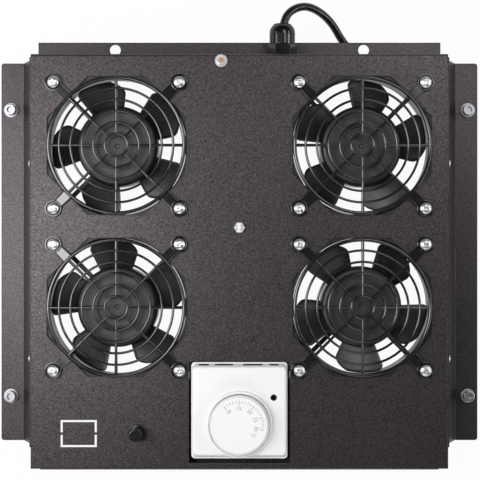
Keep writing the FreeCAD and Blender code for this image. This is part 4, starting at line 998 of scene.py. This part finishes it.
class TRAY_OT_trim(Operator):
    """Small forms: thermostat cheeks, painted shade for the vents and the dial gap, panel clip and
    gland crown
    """

    bl_idname = "tray.trim"
    bl_label = "Trim"

    def execute(self, context):
        self.cheeks()
        self.vents()
        self.clip()
        self.dial_gap()
        self.gland_cap()
        return {"FINISHED"}

    def cheeks(self):
        """Folded edges of the bracket that close the gap between thermostat and fan frames."""
        bracket_low, bracket_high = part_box("thermostat_bracket")
        base_low, base_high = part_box("thermostat_base")
        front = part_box("fan_3_frame")[0][1] - 1.5 * MM
        back = base_high[1] + 2.2 * MM
        low, high = bracket_low[2] + 0.1 * MM, bracket_high[2] - 1.3 * MM
        near, far = 0.4 * MM, 1.9 * MM
        grids = []
        for inner, outer in (
            (base_high[0] + near, base_high[0] + far),
            (base_low[0] - far, base_low[0] - near),
        ):
            section = np.array([(inner, low), (outer, low), (outer, high), (inner, high)])
            flat = bar(section, front, back)
            grids.append((flat[..., [1, 0, 2]], False, True))
        cheeks = piece("bracket_cheeks", grids, finish_of("powder_coat"))
        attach(cheeks, "base")

    def vents(self):
        """Painted shade: dark slots that stand for the shaded openings of the vents on the cover's
        sloping back side.

        Each is a squared oval on the slope: y = half depth - lean * height / cover height.
        """
        _, high, middle = span_of("thermostat_base")
        bottom, top, cover_height = 2.0 * MM, 4.8 * MM, 8.8 * MM
        half_depth, lean = 39.3, 2.6
        under, proud = -0.5, 0.12
        grids = []
        for x, length in ((-29.4, 8.3), (-12.7, 15.3), (11.2, 16.6), (28.9, 8)):
            loop = oval(length * MM, bottom, top, 28, 6)
            centre = loop.mean(axis=0)
            rows = []
            for grow, out in ((0, under), (1, under), (1, proud), (0, proud)):
                flat = centre + (loop - centre) * grow
                across, up = flat[:, 0], flat[:, 1]
                slope = middle[1] + (half_depth - lean * up / cover_height + out) * MM
                rows.append(np.stack([across + x * MM + middle[0], slope, up + high[2]], axis=-1))
            grids.append((np.stack(rows), False, True))
        # The black slots are painted shade put in place of the vents' openings.
        vents = piece("cover_vents", grids, finish_of("black_plastic"))
        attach(vents, "base")

    def dial_gap(self):
        """Painted shade: a dark ring that lies as a floor low in the narrow ring-shaped gap between the
        dial and its collar.
        """
        low, high, middle = span_of("thermostat_dial")
        radius = (high[0] - low[0]) / 2
        level, width, thick = high[2] - 0.5 * MM, 0.34 * MM, 0.5 * MM
        section = oval(width, level - thick, level, 8)
        gap = ringed(section, radius + 0.2 * MM, 128) + np.array([middle[0], middle[1], 0])
        # The black ring is painted shade that darkens the gap; the thermostat has no such part.
        gap = piece("dial_gap", [(gap, True, True)], finish_of("black_plastic"))
        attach(gap, "base")

    def clip(self):
        """Head of a push-in clip: three low domes side by side.

        A dome's profile is radius = cos a, height = 0.96 (sin a)^0.6, for a quarter turn of a.
        """
        _, high, middle = span_of("centre_bolt")
        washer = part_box("centre_washer")[1][2]
        tall = high[2] - washer
        rise = np.linspace(0, TURN / 4, 9)
        profile = np.stack([np.cos(rise), np.sin(rise) ** 0.6 * 0.96], axis=-1)
        unit = lathe(np.concatenate([[(0, -0.2), (1, -0.2)], profile]), 40)
        grids = []
        for offset, across, along in ((-2.6, 2.3, 1.9), (0, 2.8, 2.0), (2.6, 2.3, 1.9)):
            dome = unit * np.array([across * MM, along * MM, tall])
            dome = dome + np.array([middle[0], middle[1] + offset * MM, washer])
            grids.append((dome, False, True))
        clip = piece("centre_clip", grids, finish_of("white_plastic"))
        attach(clip, "base")
        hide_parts("centre_bolt")

    def gland_cap(self):
        """Rounded crown over the gland nut's upper half, closed in to the lead.

        Its profile is a quarter ellipse from the nut's side at the shoulder to the flat at the mouth.
        """
        low, high, middle = span_of("gland_nut")
        radius = (high[0] - low[0]) / 2 + 0.05 * MM
        top = high[1] - low[1]
        foot, shoulder = top * 0.47, top * 0.56
        flat, mouth = 5.0 * MM, 4.3 * MM
        rise = np.linspace(0, TURN / 4, 14)
        crown = np.stack([np.cos(rise), np.sin(rise)], axis=-1) * [radius - flat, top - shoulder]
        crown += [flat, shoulder]
        inner = [(mouth, top - 0.5 * MM), (mouth, foot)]
        section = np.concatenate([[(radius, foot)], crown, inner])
        cap = lathe(section, 72)[..., [0, 2, 1]] + [middle[0], low[1], middle[2]]
        cap = piece("gland_cap", [(cap, True, True)], finish_of("gland_nylon"))
        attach(cap, "base")


# Numbers on the dial and the angles at which they stand, in degrees. The sign has no tick.
DIAL_NUMBERS = {"10": 129, "15": 91, "20": 53, "25": 20, "30": -11}
DIAL_SIGN = {"°C": -33}
NUMBER_SIZE = 4.3 * MM
NUMBER_OUT = 13.9 * MM  # from the dial's axis
PRINT_DEPTH = 0.17 * MM  # under the dial's highest point


class TRAY_OT_dial_scale(Operator):
    """Temperature scale printed on the dial: ticks and numbers"""

    bl_idname = "tray.dial_scale"
    bl_label = "Dial scale"

    def execute(self, context):
        _, high, centre = span_of("thermostat_dial")
        level = high[2] - PRINT_DEPTH
        marks = {**DIAL_NUMBERS, **DIAL_SIGN}
        flats = [self.ticks(), *(self.lettering(text, at) for text, at in marks.items())]
        mesh = bpy.data.meshes.new("dial_scale")
        faces, start = [], 0
        for vertices, polygons in flats:
            faces += [[corner + start for corner in polygon] for polygon in polygons]
            start += len(vertices)
        flat = np.concatenate([vertices for vertices, _ in flats])
        placed = np.c_[flat + centre[:2], np.full(len(flat), level)]
        mesh.from_pydata(placed.tolist(), [], faces)
        mesh.materials.append(finish_of("scale_print"))
        scale = bpy.data.objects.new("dial_scale", mesh)
        context.scene.collection.objects.link(scale)
        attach(scale, "dial")
        return {"FINISHED"}

    def ticks(self):
        """Radial strokes, each four corners: a long one at each number, four short ones between two."""
        numbers = np.array(list(DIAL_NUMBERS.values()))
        parts = np.concatenate(
            [np.linspace(first, second, 6)[:-1] for first, second in zip(numbers, numbers[1:])]
        )
        angle = np.radians(np.append(parts, numbers[-1]))
        long = np.isin(np.degrees(angle).round(3), numbers)
        long_start, short_start, end = 16.6, 18.3, 20.4
        long_half, short_half = 0.26, 0.2
        inner = np.where(long, long_start, short_start) * MM
        outer = np.full_like(inner, end * MM)
        half = np.where(long, long_half, short_half) * MM
        along = np.stack([np.cos(angle), np.sin(angle)], axis=-1)
        across = np.stack([-np.sin(angle), np.cos(angle)], axis=-1)
        corners = [
            along * inner[:, None] - across * half[:, None],
            along * outer[:, None] - across * half[:, None],
            along * outer[:, None] + across * half[:, None],
            along * inner[:, None] + across * half[:, None],
        ]
        vertices = np.stack(corners, axis=1).reshape(-1, 2)
        faces = np.arange(len(vertices)).reshape(-1, 4).tolist()
        return vertices, faces

    def lettering(self, text, degrees):
        """A number as flat points and faces, its foot towards the dial's centre."""
        curve = bpy.data.curves.new("number", "FONT")
        curve.body = text
        curve.size = NUMBER_SIZE
        curve.align_x = "CENTER"
        curve.align_y = "CENTER"
        curve.resolution_u = 3
        letters = bpy.data.objects.new("number", curve)
        bpy.context.scene.collection.objects.link(letters)
        bpy.context.view_layer.update()
        mesh = bpy.data.meshes.new_from_object(letters)
        flat = np.empty(len(mesh.vertices) * 3)
        mesh.vertices.foreach_get("co", flat)
        flat = flat.reshape(-1, 3)[:, :2]
        faces = [list(polygon.vertices) for polygon in mesh.polygons]
        bpy.data.objects.remove(letters)
        angle = math.radians(degrees)
        turn = angle - math.pi / 2
        cosine, sine = math.cos(turn), math.sin(turn)
        middle = NUMBER_OUT * np.array([math.cos(angle), math.sin(angle)])
        return flat @ np.array([[cosine, sine], [-sine, cosine]]) + middle, faces


class TRAY_OT_finishes(Operator):
    """Finishes for every solid part that shows as it is"""

    bl_idname = "tray.finishes"
    bl_label = "Finishes"

    def execute(self, context):
        slots = {part["node"]: part["material_slot"] for part in FRAME["record"]["subparts"]}
        made = {}
        for node, thing in FRAME["nodes"].items():
            name = NODE_FINISHES.get(node) or SLOT_FINISHES[slots[node]]
            if name not in made:
                made[name] = finish_of(name)
            for holder in thing.material_slots:
                holder.material = made[name]
        return {"FINISHED"}


OPERATORS = (
    TRAY_OT_stage,
    TRAY_OT_lead,
    TRAY_OT_guards,
    TRAY_OT_impellers,
    TRAY_OT_guard_screws,
    TRAY_OT_trim,
    TRAY_OT_dial_scale,
    TRAY_OT_finishes,
)


class TRAY_PT_panel(Panel):
    """Buttons and sizes for the tray"""

    bl_label = "Fan tray"
    bl_space_type = "VIEW_3D"
    bl_region_type = "UI"
    bl_category = "Fan tray"

    def draw(self, context):
        layout = self.layout
        for operator in OPERATORS:
            layout.operator(operator.bl_idname)
        tray = context.scene.fan_tray
        for group in (tray.guard, tray.impeller, tray.lead, tray.colours, tray.lamps):
            section = layout.box()
            for name in group.bl_rna.properties.keys():
                if name not in {"rna_type", "name"}:
                    section.prop(group, name)


CLASSES = (
    GuardSizes,
    ImpellerSizes,
    LeadSizes,
    Colours,
    Lamps,
    TraySettings,
    *OPERATORS,
    TRAY_PT_panel,
)


def register():
    for kind in CLASSES:
        bpy.utils.register_class(kind)
    bpy.types.Scene.fan_tray = PointerProperty(type=TraySettings)


def unregister():
    del bpy.types.Scene.fan_tray
    for kind in reversed(CLASSES):
        bpy.utils.unregister_class(kind)


def main():
    """Builds the dressed tray."""
    register()
    for operator in OPERATORS:
        group, name = operator.bl_idname.split(".")
        getattr(getattr(bpy.ops, group), name)()


if __name__ == "__main__":
    main()
